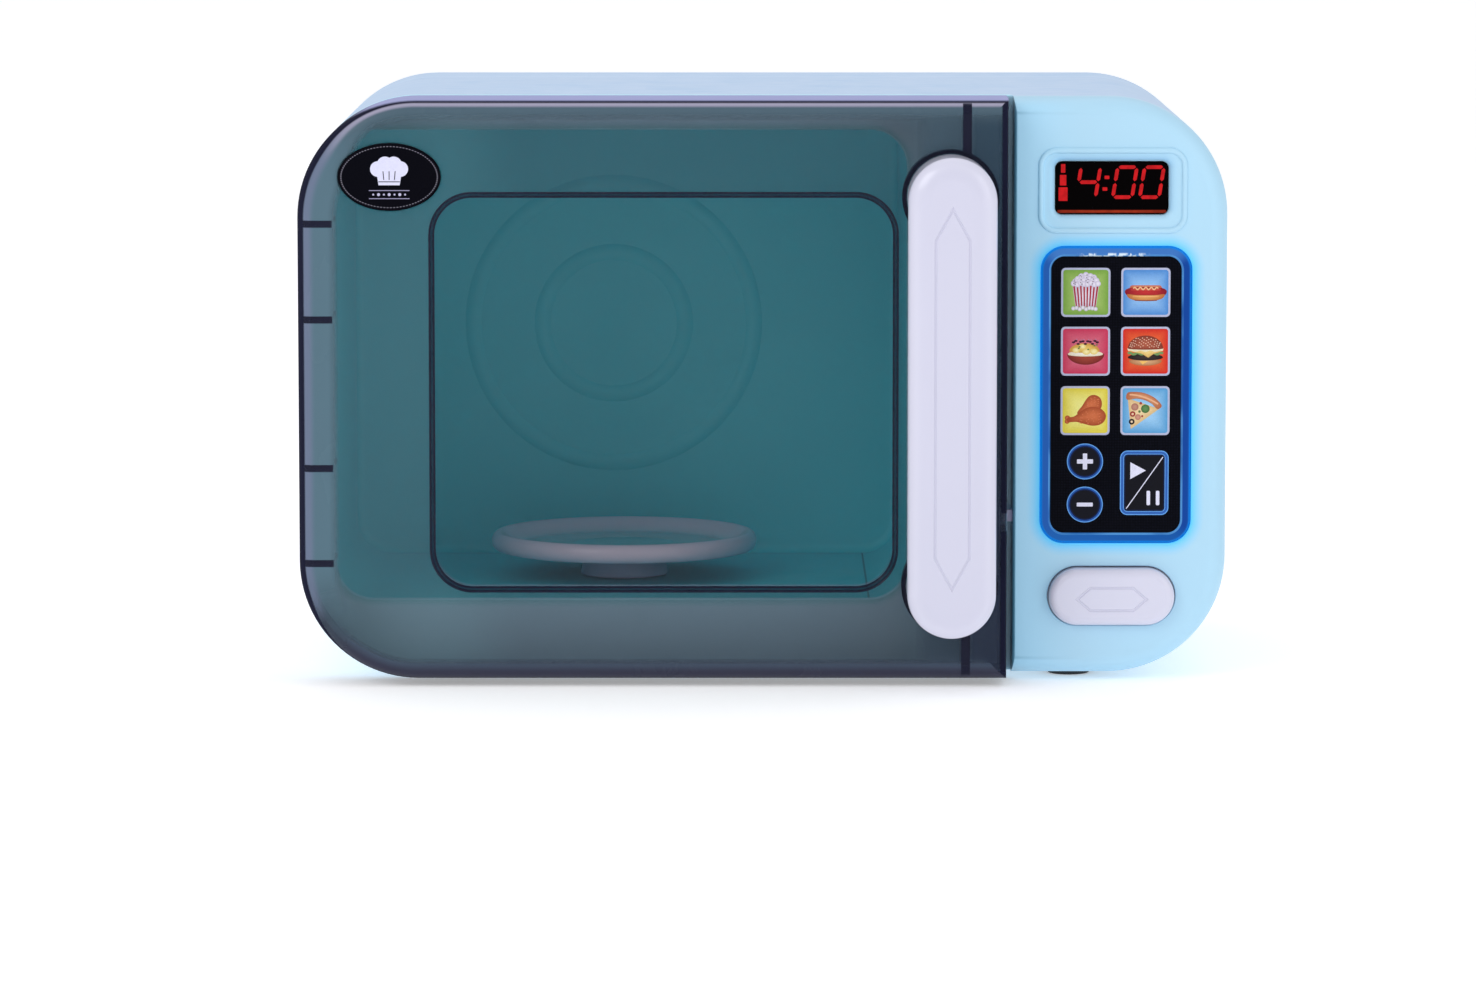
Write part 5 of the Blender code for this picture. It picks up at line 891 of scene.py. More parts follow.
def smokedFinish():
    # see-through by alpha: clear in the pane, hazier round it, dark where the eye looks along a wall; with painted
    # highlights (shine, glint, sheen), painted shade along the foot and over the frame seen through the right part,
    # and painted light lifting the haze on the left
    material, tree, shader = newMaterial("smoked door", **{"IOR": 1.45, "Specular IOR Level": 0.15})
    pane = distanceTo(tree, door["window"], *door["windowSize"], door["windowCorner"])
    around = distanceTo(tree, (0, casingHeight / 2), casingWidth, casingHeight, casing["corner"])
    (x, _, z), normal = millimetres(tree), facing(tree)
    right = minus(x, door["right"])
    edge = largest(around["Distance"], right)        # millimetres from the door's outline, negative inside
    leftOrTop = calc("GREATER_THAN", around["Distance"], right)
    rise = times(around["Rise"], leftOrTop)
    up, down = ramp(rise, 0.5, 0.95), ramp(rise, -0.25, -0.9)
    frontal = calc("ABSOLUTE", normal["Y"])
    haze = ramp(pane["Distance"], -2.3, 0.0)

    step = band(pane["Distance"], -1.9, -0.3, 0.3)
    lips = largest(band(pane["Distance"], -1.95, -1.5, 0.15), band(pane["Distance"], -0.7, -0.2, 0.15))
    glint = times(band(pane["Distance"], -2.45, -2.3, 0.12), ramp(pane["Rise"], 0.3, -0.9, 0.15, 0.7))
    reach = scaled(up, door["darkTop"] - door["darkSide"], door["darkSide"])
    reach = scaled(down, door["darkFoot"] - door["darkSide"], reach)
    fromDark = calc("ADD", edge, reach)        # above 0 inside the dark line
    shine = scaled(up, door["shineTop"] - door["shineSide"], door["shineSide"])
    shine = ramp(calc("DIVIDE", fromDark, shine), -1.5, -0.5)
    shine = times(shine, leftOrTop, minus(1.0, down))
    low = times(ramp(edge, -8.4, -4.2), down)
    over = ramp(around["Rise"], 0.5, 0.95)
    full, none = (scaled(over, side - top, -side) for side, top in (door["fogFull"], door["fogReach"]))
    fog = calc("DIVIDE", minus(around["Distance"], none), minus(full, none))
    fog = times(ramp(fog, 0.0, 1.0), ramp(around["Rise"], -1.0, 0.0))
    pillar = ramp(x, door["pillar"], door["pillar"] + 16.0)        # painted shade over the frame seen through the haze, in front of the casing's pillar
    beyond = ramp(x, door["ribX"] + 1.2, door["ribX"] + 2.6)        # painted shade over the frame seen through the haze, right of the upright rib
    height = ramp(z, 40.0, 150.0)
    rim = ramp(edge, -1.2, -0.9)
    flank = times(ramp(frontal, 0.55, 0.2), rim)
    notch = times(ramp(away(z, shell["noseHeight"]), door["notch"], door["notch"] - 0.4), ramp(right, -3.2, -2.9))
    dark = times(largest(ramp(fromDark, -0.35, 0.25), flank), scaled(notch, -0.75, 1.0))
    # ribs and round walls that stand on the back of the face, seen through it
    ribs = calc("MINIMUM", *(away(z, height - door["ribDrop"]) for height in hinge["heights"]))
    ribs = times(ramp(away(ribs, hinge["spacing"] / 2), door["ribPaint"] + 0.15, door["ribPaint"] - 0.15),
                 ramp(x, door["hingeRibEnd"] + 0.2, door["hingeRibEnd"] - 0.2))
    upright = ramp(away(x, door["ribX"]), door["ribWide"] / 2 + 0.1, door["ribWide"] / 2 - 0.2)
    radius = diagonal(away(x, door["handle"][0]), away(away(z, door["handle"][1]), door["footSpread"]))
    inner, outer = door["socketRadius"]
    behind = times(largest(ribs, band(radius, inner + 0.2, outer, 0.2), upright), ramp(frontal, 0.5, 0.8))
    sheen = times(ramp(normal["Z"], 0.8, 0.96), rim)

    base = grained(tree, door["haze"], 0.10, 0.2, 1500.0)
    # painted light: on the left the frosted haze is painted a lighter teal, lifting the shaded liner wall seen through
    # it
    colour = mixed(haze, door["clear"], mixed(ramp(x, -75.0, -105.0), base["Colour"], door["leftLitHaze"]))
    lowShade = mixed(ramp(edge, -5.4, -2.2), door["lowTop"], door["lowShade"])
    # painted shade over the frame seen through (pillar, beyond), painted highlights (shine, glint, sheen) and painted
    # shade along the foot (low)
    for mask, shade in (
            (pillar, mixed(height, *door["pillarHazeShade"])), (beyond, mixed(height, *door["rightHazeShade"])),
            (fog, mixed(over, door["fog"], door["fogTop"])), (shine, mixed(up, door["sideShine"], door["topShine"])),
            (low, lowShade), (glint, door["sideShine"]), (largest(step, dark, behind), door["line"]),
            (sheen, door["sheen"])):
        colour = mixed(mask, colour, shade)
    rough = rubbed(shader, colour, scaled(haze, 0.14, 0.12), 0.10, 0.02)
    alpha = scaled(haze, door["hazeAlpha"] - door["clearAlpha"], door["clearAlpha"])
    for mask, strength in ((step, 0.62), (lips, 0.93), (glint, 0.8), (pillar, 0.55), (beyond, 0.6), (fog, 0.88),
                           (shine, 0.78), (low, 0.96), (dark, 0.95), (behind, 0.9), (sheen, 0.97)):
        alpha = largest(alpha, times(mask, strength))
    grazing = calc("POWER", addNode(tree, "LayerWeight", {"Blend": 0.5}).outputs["Facing"], 2.5)
    feed(shader, {"Roughness": largest(rough, times(dark, 0.95)),        # no glare on the dark walls
                  "Alpha": scaled(grazing, 0.35, alpha, clamp=True), "Normal": relief(base["Height"], 0.03, 0.0002)})
    return material


footHeights = [door["handle"][1] + side * door["footSpread"] for side in (-1, 1)]
smokedDoor = smokedFinish()
smokedRib = plastic("smoked rib", srgb(10, 10, 26), 0.35, wear=0.0, dust=0.0, **{"Specular IOR Level": 0.1})


def makeDoorShell():
    front, back, wall, inside = door["front"], door["back"], door["wall"], door["front"] + door["face"]
    outer = bodyOutline(right=door["right"], sideShare=door["rightShare"])
    body = layered("smoked_shell", outer, edgeLevels(front, back, door["edgeRound"], 0.3, 12))
    cut(body, layered("hollow", bodyOutline(wall, right=door["right"] - wall, sideShare=0.3),
                      edgeLevels(inside, back + overrun, door["edgeRound"] - wall, 0, 8)))
    s = np.linspace(0, 1, 9)
    step = list(zip(door["stepWidth"] * s, front + door["stepDepth"] * (s * s * (3 - 2 * s))))
    cut(body, layered("pane", roundRect(door["window"], *door["windowSize"], door["windowCorner"], 16),
                      [(0, front - overrun)] + step))
    radius = door["seatRadius"]
    seat = [(radius + 0.3, front - overrun), (radius + 0.3, front), (radius, front + 0.3),
            (radius, front + door["seatDepth"])]
    for z in footHeights:
        cut(body, turned("seat", seat, (door["handle"][0], z), "Y", 96))
    cut(body, layered("badge_seat", oval(door["badge"], *(np.array(door["badgeSize"]) + 0.6)),
                      [(0, front - overrun), (0, front + 0.8)]))
    middle, half = shell["noseHeight"], door["notchHalf"]
    cut(body, block("nose_notch", (door["right"] - wall - overrun, door["right"] + overrun), (4.2, back + overrun),
                    (middle - half, middle + half)))
    turn = arc((hinge["x"], hinge["y"]), shell["seat"] - hinge["y"] - 0.3, 90, 150, 12)
    outside, beyond = -casingWidth / 2 - overrun, back + overrun
    corner = np.array([(hinge["x"], beyond), *turn, (outside, turn[-1][1]), (outside, beyond)])
    cut(body, layered("hinge_corner", lambda inset=0.0: corner, [(0, -overrun), (0, casingHeight + overrun)], "Z"))
    for height in hinge["heights"]:
        reach = hinge["spacing"] / 2 - hinge["rib"] / 2
        cut(body, block("lug_room", (outside, hinge["x"]), (hinge["y"] - hinge["lugRadius"] - 0.3, beyond),
                        (height - reach, height + reach)))
    finished(body, smokedDoor, "door", ["door_shell"])


def makeDoorRibs():
    wall, gap = door["wall"], 0.05        # the gap keeps the ribs' faces off the shell's
    inside = door["front"] + door["face"]
    left, right, near = -casingWidth / 2 + wall + gap, door["hingeRibEnd"], inside + gap
    far, bevel, thick = door["hingeRibBack"], hinge["pinRadius"], door["ribThick"] / 2
    profile = np.array([(left, near), (right, near), (right, far - bevel), (right - bevel, far), (left, far)])
    ribs = []
    for z in [height + side * hinge["spacing"] / 2 for height in hinge["heights"] for side in (-1, 1)]:
        rib = layered("rib", polygon(profile), edgeLevels(z - thick, z + thick, 0.2, 0.2, 2), "Z")
        cut(rib, rod("bore", door["pinBore"], (z - 3, z + 3), (hinge["x"], hinge["y"]), "Z", 24))
        ribs.append(rib)
    outline = roundRect((door["ribX"], casingHeight / 2), door["ribWide"], casingHeight - 2 * wall - 2 * gap, 0.3, 3)
    upright = layered("upright", outline, edgeLevels(near, inside + door["ribDepth"], 0, 0.3, 2))
    (inner, outer), (start, end) = door["socketRadius"], inside + np.array(door["socketDepth"])
    socket = [(inner, start), (outer, start), (outer, end), (inner, end)]
    boss = [(1.4, near), (5, near), (5, inside + 1.8), (4.8, inside + 2), (1.4, inside + 2)]
    ribs.append(upright)
    for z in footHeights:        # round walls and screw bosses behind the handle's feet
        join(upright, turned("socket", socket, (door["handle"][0], z), "Y", 72, ring=True))
        ribs.append(turned("boss", boss, (door["handle"][0], z), "Y", 48, ring=True))
    finished(gathered("smoked_ribs", ribs), smokedRib, "door", ["door_shell"])


makeDoorShell()
makeDoorRibs()
print("door made")


# Handle and release button
handle = {"crown": 4.0, "crownWidth": 7.5, "thickness": 8.0, "backRound": 1.8, "mark": (123.3, 5.9, 10.8),
          "markLine": 0.9, "markDepth": 0.4}
button = {"edgeAcross": 3.0, "edgeDeep": 2.2, "mark": (23.8, 4.15, 4.8), "markDrop": 0.7, "wall": 1.8, "flange": 1.3}


def crownLevels(crest, across, deep, steps=14):
    # a quarter ellipse from the flat front to the side: inset = across (1 - cos a), place = crest + deep (1 - sin a)
    a = np.radians(np.linspace(90, 0, steps + 1))
    return list(zip(across * (1 - np.cos(a)), crest + deep * (1 - np.sin(a))))


def makeHandle():
    (low, high), centre = nodeBox("door_handle"), middleOf("door_handle")
    bar = pill(centre, high[0] - low[0], high[2] - low[2], 28)
    crest, back = low[1], low[1] + handle["thickness"]
    body = layered("bridge_handle", bar, crownLevels(crest, handle["crownWidth"], handle["crown"])
                   + edgeLevels(crest + handle["crown"], back, 0, handle["backRound"], 6)[1:])
    footBack = door["front"] + door["seatDepth"] - 0.3
    radius = door["footRadius"]
    profile = [(radius - 1.6, back - 2.2), (radius - 0.9, back - 0.4), (radius, back + 1.5), (radius, footBack - 0.4),
               (radius - 0.4, footBack)]
    for z in footHeights:
        join(body, turned("foot", profile, (door["handle"][0], z), "Y", 96))
    mark = hexagon(centre, *handle["mark"], True)
    cut(body, layered("mark", mark, grooveLevels(crest, handle["markLine"], handle["markDepth"]), ring=True))
    finished(body, whiteGloss, "door", ["door_handle"], sharp=24)


def makeButton():
    low, high = nodeBox("release_button")
    width, height = panel["buttonSize"]
    front = low[1]
    cap = pill(panel["button"], width, height, 28)
    flangeBack = 4.3
    body = layered("press_button", cap, crownLevels(front, button["edgeAcross"], button["edgeDeep"], 12)
                   + [(0, flangeBack)])
    wide = 2 * button["flange"]
    join(body, layered("flange", pill(panel["button"], width + wide, height + wide, 16), [(0, 2.8), (0, flangeBack)]))
    inner = 2 * button["wall"]
    cut(body, layered("hollow", pill(panel["button"], width - inner, height - inner, 16),
                      [(0, front + button["wall"]), (0, flangeBack + overrun)]))
    join(body, turned("stem", [(0, front + 1.4), (2, front + 1.4), (2, high[1] - 1), (1.4, high[1] - 0.3),
                               (0, high[1])], (102.5, panel["button"][1]), "Y", 32))
    mark = hexagon((panel["button"][0], panel["button"][1] - button["markDrop"]), *button["mark"], False)
    cut(body, layered("mark", mark, grooveLevels(front, handle["markLine"], handle["markDepth"]), ring=True))
    finished(body, whiteGloss, "button", ["release_button"], sharp=24)


makeHandle()
makeButton()
print("handle and button made")


# Printed shapes. Each is a thin closed plate whose colour runs from its middle to its edge, and lies over the last.
ink = {"first": 0.012, "step": 0.002, "sunk": 0.02}


def newSheet():
    return {"points": [], "faces": [], "colours": [], "count": 0}


def addTo(sheet, points, faces, colours):
    sheet["faces"] += [[v + sheet["count"] for v in face] for face in faces]
    sheet["points"].append(points)
    sheet["colours"].append(colours)
    sheet["count"] += len(points)


def topOf(sheet):        # the next print's height, a step over the last one
    return -ink["first"] - ink["step"] * len(sheet["points"])


def addPatch(sheet, outline, inner, outer=None, rings=4, centre=None):
    # point(i, j) = middle + r_i (outline_j - middle), colour_i = inner + (outer - inner) r_i^1.5, r from 0 to 1
    outline = np.asarray(outline, float)
    middle = outline.mean(0) if centre is None else np.asarray(centre, float)
    inner, outer = (np.array(srgb(*colour)[:3]) for colour in (inner, outer or inner))
    r = np.linspace(0, 1, rings + 1)[1:]
    front = middle + r[:, None, None] * (outline - middle)
    count = len(outline)
    flat = np.concatenate([middle[None], front.reshape(-1, 2), outline])
    depth = np.concatenate([np.full(1 + rings * count, topOf(sheet)), np.full(count, ink["sunk"])])
    shade = np.concatenate([[0.0], np.repeat(r, count), np.ones(count)])[:, None] ** 1.5
    j = np.arange(count)
    k = (j + 1) % count
    start = 1 + np.arange(rings)[:, None] * count
    quads = np.stack([start + j, start + k, start + count + k, start + count + j], -1).reshape(-1, 4)
    fan = np.stack([np.zeros(count, int), 1 + k, 1 + j], 1)
    addTo(sheet, np.insert(flat, 1, depth, axis=1), quads.tolist() + fan.tolist() + [(1 + rings * count + j).tolist()],
          inner + (outer - inner) * shade)


def addStroke(sheet, path, width, colour, closed=False):
    # each side of the path lies half the width along its normal
    path = np.asarray(path, float)
    ahead = np.roll(path, -1, 0) - path
    behind = path - np.roll(path, 1, 0)
    if not closed:
        ahead[-1], behind[0] = behind[-1], ahead[0]
    way = ahead / np.linalg.norm(ahead, axis=1)[:, None] + behind / np.linalg.norm(behind, axis=1)[:, None]
    way /= np.linalg.norm(way, axis=1)[:, None]
    side = np.stack([-way[:, 1], way[:, 0]], 1) * width / 2
    left, right = path + side, path - side
    count = len(path)
    high, low = topOf(sheet), ink["sunk"]
    sides = ((left, high), (right, high), (right, low), (left, low))
    points = np.concatenate([placed(side, depth, "Y") for side, depth in sides])
    spans = np.arange(count if closed else count - 1)
    after = (spans + 1) % count
    faces = []
    for a, b in ((0, 1), (1, 2), (2, 3), (3, 0)):
        faces += np.stack([a * count + spans, a * count + after, b * count + after, b * count + spans], 1).tolist()
    if not closed:
        faces += [[0, count, 2 * count, 3 * count], [n * count - 1 for n in (1, 2, 3, 4)]]
    addTo(sheet, points, faces, np.tile(srgb(*colour)[:3], (len(points), 1)))


def printed(name, sheet, face, body, material):
    points = np.concatenate(sheet["points"])
    points[:, 1] += face
    mesh = bpy.data.meshes.new(name)
    mesh.from_pydata(toWorld(points).tolist(), [], sheet["faces"])
    colours = np.concatenate(sheet["colours"])
    layer = mesh.color_attributes.new("ink", "FLOAT_COLOR", "POINT")
    layer.data.foreach_set("color", np.concatenate([colours, np.ones((len(colours), 1))], 1).ravel())
    shape = bmesh.new()
    shape.from_mesh(mesh)
    bmesh.ops.recalc_face_normals(shape, faces=shape.faces)
    shape.to_mesh(mesh)
    shape.free()
    mesh.materials.append(material)
    obj = newObject(name, mesh)
    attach(obj, body)


def inkIn(tree):
    return addNode(tree, "Attribute", attribute_name="ink").outputs["Color"]


def inkFinish():
    # printed film: the ink's own colour with a fine screen of dots and a satin coat
    material, tree, shader = newMaterial("printed ink", **{"Specular IOR Level": 0.12})
    colour, spot = inkIn(tree), spotIn(tree)
    grain = noise(spot, 700.0, 4.0)
    screen = times(ramp(cells(spot, 3800.0), 0.2, 0.7), grain)
    feed(shader, {"Base Color": mixed(screen, colour, tinted(colour, (0.80, 0.80, 0.82, 1.0))),
                  "Roughness": scaled(grain, 0.2, 0.24), "Normal": relief(grain, 0.05, 0.00005)})
    return material


printedInk = inkFinish()


# Badge with a generic cook's hat
badge = {"edge": 0.5, "white": (222, 222, 246), "lineWide": 13.0, "dots": 92, "dotInset": 1.1}


def badgeFinish():
    # black gloss with a ring of fine dots: angle steps and a narrow band of the oval's own radius
    material, tree, shader = newMaterial("badge black", **{"Specular IOR Level": 0.03})
    base, (x, _, z) = grained(tree, srgb(6, 6, 14), 0.1, 0.28, 1200.0), millimetres(tree)
    u, v = (calc("DIVIDE", minus(value, middle), size / 2 - badge["dotInset"])
            for value, middle, size in zip((x, z), door["badge"], door["badgeSize"]))
    circle = ramp(away(diagonal(u, v), 1.0), 0.017, 0.006)
    beat = away(calc("FRACT", times(calc("ARCTAN2", v, u), badge["dots"] / (2 * math.pi))), 0.5)
    dotted = mixed(times(circle, ramp(beat, 0.3, 0.18), 0.42), base["Colour"], srgb(200, 195, 215))
    rubbed(shader, dotted, base["Roughness"], 0.12, 0.02)
    return material


def makeBadge():
    front = nodeBox("door_badge")[0][1]
    body = layered("oval_badge", oval(door["badge"], *door["badgeSize"]),
                   crownLevels(front, badge["edge"], badge["edge"], 5) + [(0, door["front"] + 0.5)])
    finished(body, badgeFinish(), "door", ["door_badge"])
    x, z = door["badge"]
    white = badge["white"]
    sheet = newSheet()
    for dx, dz, r in ((-3.6, 2.6, 2.5), (3.6, 2.6, 2.5), (-1.3, 4.0, 2.6), (1.5, 4.0, 2.6)):
        addPatch(sheet, arc((x + dx, z + dz), r, 0, 360, 28)[:-1], white)
    addPatch(sheet, polygon([(x - 4.3, z + 3.5), (x - 3.4, z - 2.6), (x + 3.4, z - 2.6), (x + 4.3, z + 3.5)])(), white)
    for dx in (-1.7, 0.0, 1.7):
        addStroke(sheet, [(x + dx, z - 0.9), (x + dx * 1.15, z + 1.9)], 0.28, (24, 18, 28))
    addStroke(sheet, [(x - 3.45, z - 1.5), (x + 3.45, z - 1.5)], 0.28, (24, 18, 28))
    half = badge["lineWide"] / 2
    for dz in (-4.3, -6.9):
        addStroke(sheet, [(x - half, z + dz), (x + half, z + dz)], 0.22, (170, 165, 200))
    for step in range(-3, 4):
        r = 0.5 if step % 2 == 0 else 0.32
        addPatch(sheet, arc((x + step * 1.7, z - 5.6), r, 0, 360, 14)[:-1], (190, 186, 215))
    printed("badge_print", sheet, front, "door", printedInk)


makeBadge()
print("badge made")


# Display
display = {"recess": 1.2, "flange": 1.9, "digit": (3.1, 4.85), "digitPlaces": (-7.6, 4.2, 12.9), "digitRise": 1.86,
           "segment": 1.18, "slant": math.tan(math.radians(9)), "red": (240, 34, 40)}


def lensFinish():
    material, tree, shader = newMaterial("lens black", **{"Specular IOR Level": 0.008})
    base = grained(tree, (0.0015, 0.001, 0.0012, 1), 0.2, 0.14, 900.0)
    rubbed(shader, base["Colour"], base["Roughness"], 0.1, 0.0)
    return material


def litFinish(name, strength):
    # lit segments: the attribute's colour, a little uneven
    material, tree, shader = newMaterial(
        name, Roughness=0.5, **{"Emission Strength": strength, "Specular IOR Level": 0.05})
    uneven = mixed(ramp(noise(spotIn(tree), 420.0), 0.3, 0.8, 0.0, 0.35), inkIn(tree), black)
    feed(shader, {"Emission Color": uneven, "Base Color": mixed(0.9, uneven, black)})
    return material


def makeDisplay():
    x, z = panel["display"]
    width, height = panel["displaySize"]
    body = layered("lens", roundRect((x, z), width - 0.6, height - 0.6, panel["displayCorner"] - 0.3, 8),
                   edgeLevels(display["recess"], 3.2, 0.1, 0, 2))
    flange = 2 * display["flange"]
    join(body, layered("flange", roundRect((x, z), width + flange, height + flange, 4.1, 6), [(0, 2.8), (0, 4.0)]))
    finished(body, lensFinish(), "casing", ["display_lens"])

    sheet = newSheet()
    red, half = display["red"], display["segment"] / 2
    w, h = display["digit"]
    gap = 0.28

    def segment(cx, ends):        # a bar with pointed ends between two corners of the figure, leaning by the slant
        (ax, az), (bx, bz) = ends
        way = np.array([bx - ax, bz - az])
        length = np.linalg.norm(way)
        way = way / length
        side = np.array([-way[1], way[0]])
        a, b = np.array([ax, az]) + way * gap, np.array([bx, bz]) - way * gap
        points = np.array([a, a + way * half + side * half, b - way * half + side * half, b,
                           b - way * half - side * half, a + way * half - side * half])
        points[:, 0] += display["slant"] * points[:, 1] + cx + x
        points[:, 1] += z + display["digitRise"]
        addPatch(sheet, points, red, rings=2)

    corners = {"a": ((-w, h), (w, h)), "b": ((w, h), (w, 0)), "c": ((w, 0), (w, -h)), "d": ((-w, -h), (w, -h)),
               "e": ((-w, 0), (-w, -h)), "f": ((-w, h), (-w, 0)), "g": ((-w, 0), (w, 0))}
    for place, lit in zip(display["digitPlaces"], ("fgbc", "abcdef", "abcdef")):
        for name in lit:
            segment(place, corners[name])
    for dx, dz in ((-1.6, 3.4), (-2.25, -0.35)):
        addPatch(sheet, roundRect((x + dx, z + dz), 1.55, 1.1, 0.2, 3)(), red, rings=2)
    for dz, wide, tall in ((6.3, 1.4, 2.8), (2.5, 2.1, 3.4), (-2.0, 2.9, 4.4)):
        addPatch(sheet, roundRect((x - 15.75, z + dz), wide, tall, 0.15, 3)(), red, rings=2)
    addPatch(sheet, roundRect((x, z - height / 2 + 0.95), width - 1.4, 0.95, 0.4, 4)(), (190, 62, 30),
             (150, 44, 24), rings=3)
    printed("lit_figures", sheet, display["recess"], "casing", litFinish("lit red", 0.66))


makeDisplay()
print("display made")


# Light ring and touch field
touch = {
    "ringProud": 0.6, "overlayProud": 0.2, "columns": (-9.9, 9.5), "rows": (33.3, 14.2, -5.1), "tile": 15.9,
    "tileBorder": 0.66, "tileCorner": 1.4, "keys": (-9.85, (-21.65, -35.7)), "keyRadius": 5.85,
    "play": (9.4, -28.6), "playSize": (15.7, 21.0), "white": (226, 226, 246),
}


def ringFinish():
    # a lit guide: deep blue, brighter at its outer edge, with a painted highlight as a pale line along its inner edge,
    # painted highlights over its top and painted glints at the top
    material, tree, shader = newMaterial("ring blue", **{"Emission Strength": 0.62, "Specular IOR Level": 0.12})
    spots, spot = fromRing(tree), spotIn(tree)
    d, rise, x = spots["Distance"], spots["Rise"], minus(millimetres(tree)[0], panel["touch"][0])
    lit = mixed(ramp(x, 18.0, -24.0), srgb(2, 66, 154), srgb(28, 90, 174))
    # painted highlight: a pale line along the inner edge
    inner = times(ramp(d, -2.35, -2.6), ramp(noise(spot, 60.0), 0.35, 0.6, 0.15, 0.8))
    streaks = noise(stretched(spot, (620.0, 620.0, 190.0), (0.0, 0.9, 0.0)), 1.0)
    glint = times(ramp(d, -1.7, -2.3), ramp(rise, 0.9, 1.0), ramp(away(x, -1.5), 13.0, 8.0), ramp(streaks, 0.44, 0.58))
    # painted highlight over the top; a lighter cyan towards the foot
    for mask, colour in ((ramp(rise, 0.3, 1.0, 0.0, 0.6), (78, 140, 214)),
                         (ramp(rise, -0.3, -1.0, 0.0, 0.5), (16, 100, 176)), (ramp(d, -0.9, 0.0), (6, 128, 226)),
                         (inner, (96, 168, 232)), (glint, (222, 240, 255))):
        lit = mixed(mask, lit, srgb(*colour))
    base = grained(tree, black, 0.04, 0.16, 700.0)
    feed(shader, {"Emission Color": lit, "Base Color": mixed(0.62, lit, black), "Roughness": base["Roughness"],
                  "Normal": relief(base["Height"], 0.06, 0.0003)})
    return material


def overlayFinish():
    # black film with a screen of hexagonal cells, a millimetre apart
    material, tree, shader = newMaterial("overlay black", **{"Specular IOR Level": 0.03})
    base = grained(tree, srgb(13, 14, 24), 0.3, 0.3, 900.0)
    screen = ramp(cells(spotIn(tree), 1150.0, {"Randomness": 0.15}), 0.28, 0.52)
    rubbed(shader, mixed(screen, base["Colour"], srgb(4, 5, 12)), base["Roughness"], 0.15, 0.0)
    feed(shader, {"Normal": relief(base["Height"], 0.04, 0.0001)})
    return material


def makeRingAndOverlay():
    line, proud = panel["ringLine"], touch["ringProud"]
    a = quarter(5)
    rise = list(zip(0.5 * (1 - np.cos(a)), -proud * np.sin(a)))
    fall = [(line - 0.45 * (1 - np.cos(t)), -proud * np.sin(t)) for t in a[::-1]]
    profile = [(-2.0, 2.8), (0.0, 2.8)] + rise + [(line / 2, -proud)] + fall + [
        (line, 1.3), (line + 2.0, 1.3), (line + 2.0, 3.8), (-2.0, 3.8)]
    ring = layered("lit_ring", roundRect(panel["touch"], *panel["ringSize"], panel["ringCorner"], 16), profile,
                   ring=True)
    finished(ring, ringFinish(), "casing", ["light_ring"])
    inner = line + 0.3
    film = roundRect(panel["touch"], *panel["ringSize"], panel["ringCorner"], 16)
    over = layered("touch_film", lambda inset=0.0: film(inset + inner),
                   edgeLevels(-touch["overlayProud"], 1.0, 0.15, 0, 3))
    finished(over, overlayFinish(), "casing", ["touch_overlay"])


makeRingAndOverlay()


# Pictures. Each draws round (0, 0) in a square of about 13 mm, from the back to the front.
def disc(x, z, r, squash=1.0, steps=20):
    return oval((x, z), 2 * r, 2 * r * squash, steps)()


def wave(x0, x1, z, swing, count, steps=40):
    # z + swing sin(count pi t) along x
    t = np.linspace(0, 1, steps + 1)
    return np.stack([x0 + (x1 - x0) * t, z + swing * np.sin(count * np.pi * t)], 1)


def dome(x, z, halfWidth, rise, fall=0.0):
    # an upper half oval of height rise, closed by a lower one of depth fall
    t = np.linspace(0, 2 * np.pi, 41)[:-1]
    return np.stack([x + halfWidth * np.cos(t), z + np.where(np.sin(t) > 0, rise, fall) * np.sin(t)], 1)


def smoothed(points, steps=6):
    # a closed curve through the points: ((2 p1) + (p2 - p0) t + (2 p0 - 5 p1 + 4 p2 - p3) t^2 + (...) t^3) / 2
    p = np.asarray(points, float)[:, None, :]
    before, after, last = np.roll(p, 1, 0), np.roll(p, -1, 0), np.roll(p, -2, 0)
    t = np.linspace(0, 1, steps, endpoint=False)[None, :, None]
    curve = 2 * p + (after - before) * t + (2 * before - 5 * p + 4 * after - last) * t ** 2 + (
        3 * p - before - 3 * after + last) * t ** 3
    return (curve / 2).reshape(-1, 2)


def scattered(count, x, z, halfWidth, rise):
    # spots in an upper half oval, spread by two irrational steps: across = frac(n a), up = frac(n b + 0.2)
    n = np.arange(count)
    across = ((n * 0.7549) % 1) * 2 - 1
    up = ((n * 0.5698 + 0.2) % 1) * np.sqrt(1 - (0.92 * across) ** 2)
    return np.stack([x + halfWidth * across, z + rise * up], 1)


def drawPopcorn(put, line):
    put([(-4.3, 2.4), (-3.3, -4.7), (3.3, -4.7), (4.3, 2.4)], (236, 228, 238), (206, 194, 212))
    for step in range(8):        # stripes that narrow with the cup
        top, low = -3.85 + step * 1.1, -2.96 + step * 0.845
        put([(top - 0.27, 2.4), (low - 0.2, -4.7), (low + 0.2, -4.7), (top + 0.27, 2.4)], (172, 34, 56))
    for z, half, count in ((5.4, 1.5, 3), (4.6, 2.6, 5), (3.7, 3.4, 6), (2.8, 3.9, 8)):        # the heap, row by row
        for n, x in enumerate(np.linspace(-half, half, count)):
            put(disc(x, z + 0.25 * math.sin(n * 2.3 + z), 0.95), (240, 234, 246), (204, 194, 218))
    for x, z in scattered(20, 0, 2.6, 3.9, 3.4):
        put(disc(x, z, 0.2, 0.8, 8), (92, 66, 84))
    for n, x in enumerate(np.linspace(-4.0, 3.2, 8)):
        put(disc(x, -5.2 + 0.3 * math.sin(n * 2.6), 0.66), (242, 238, 244), (196, 190, 204))


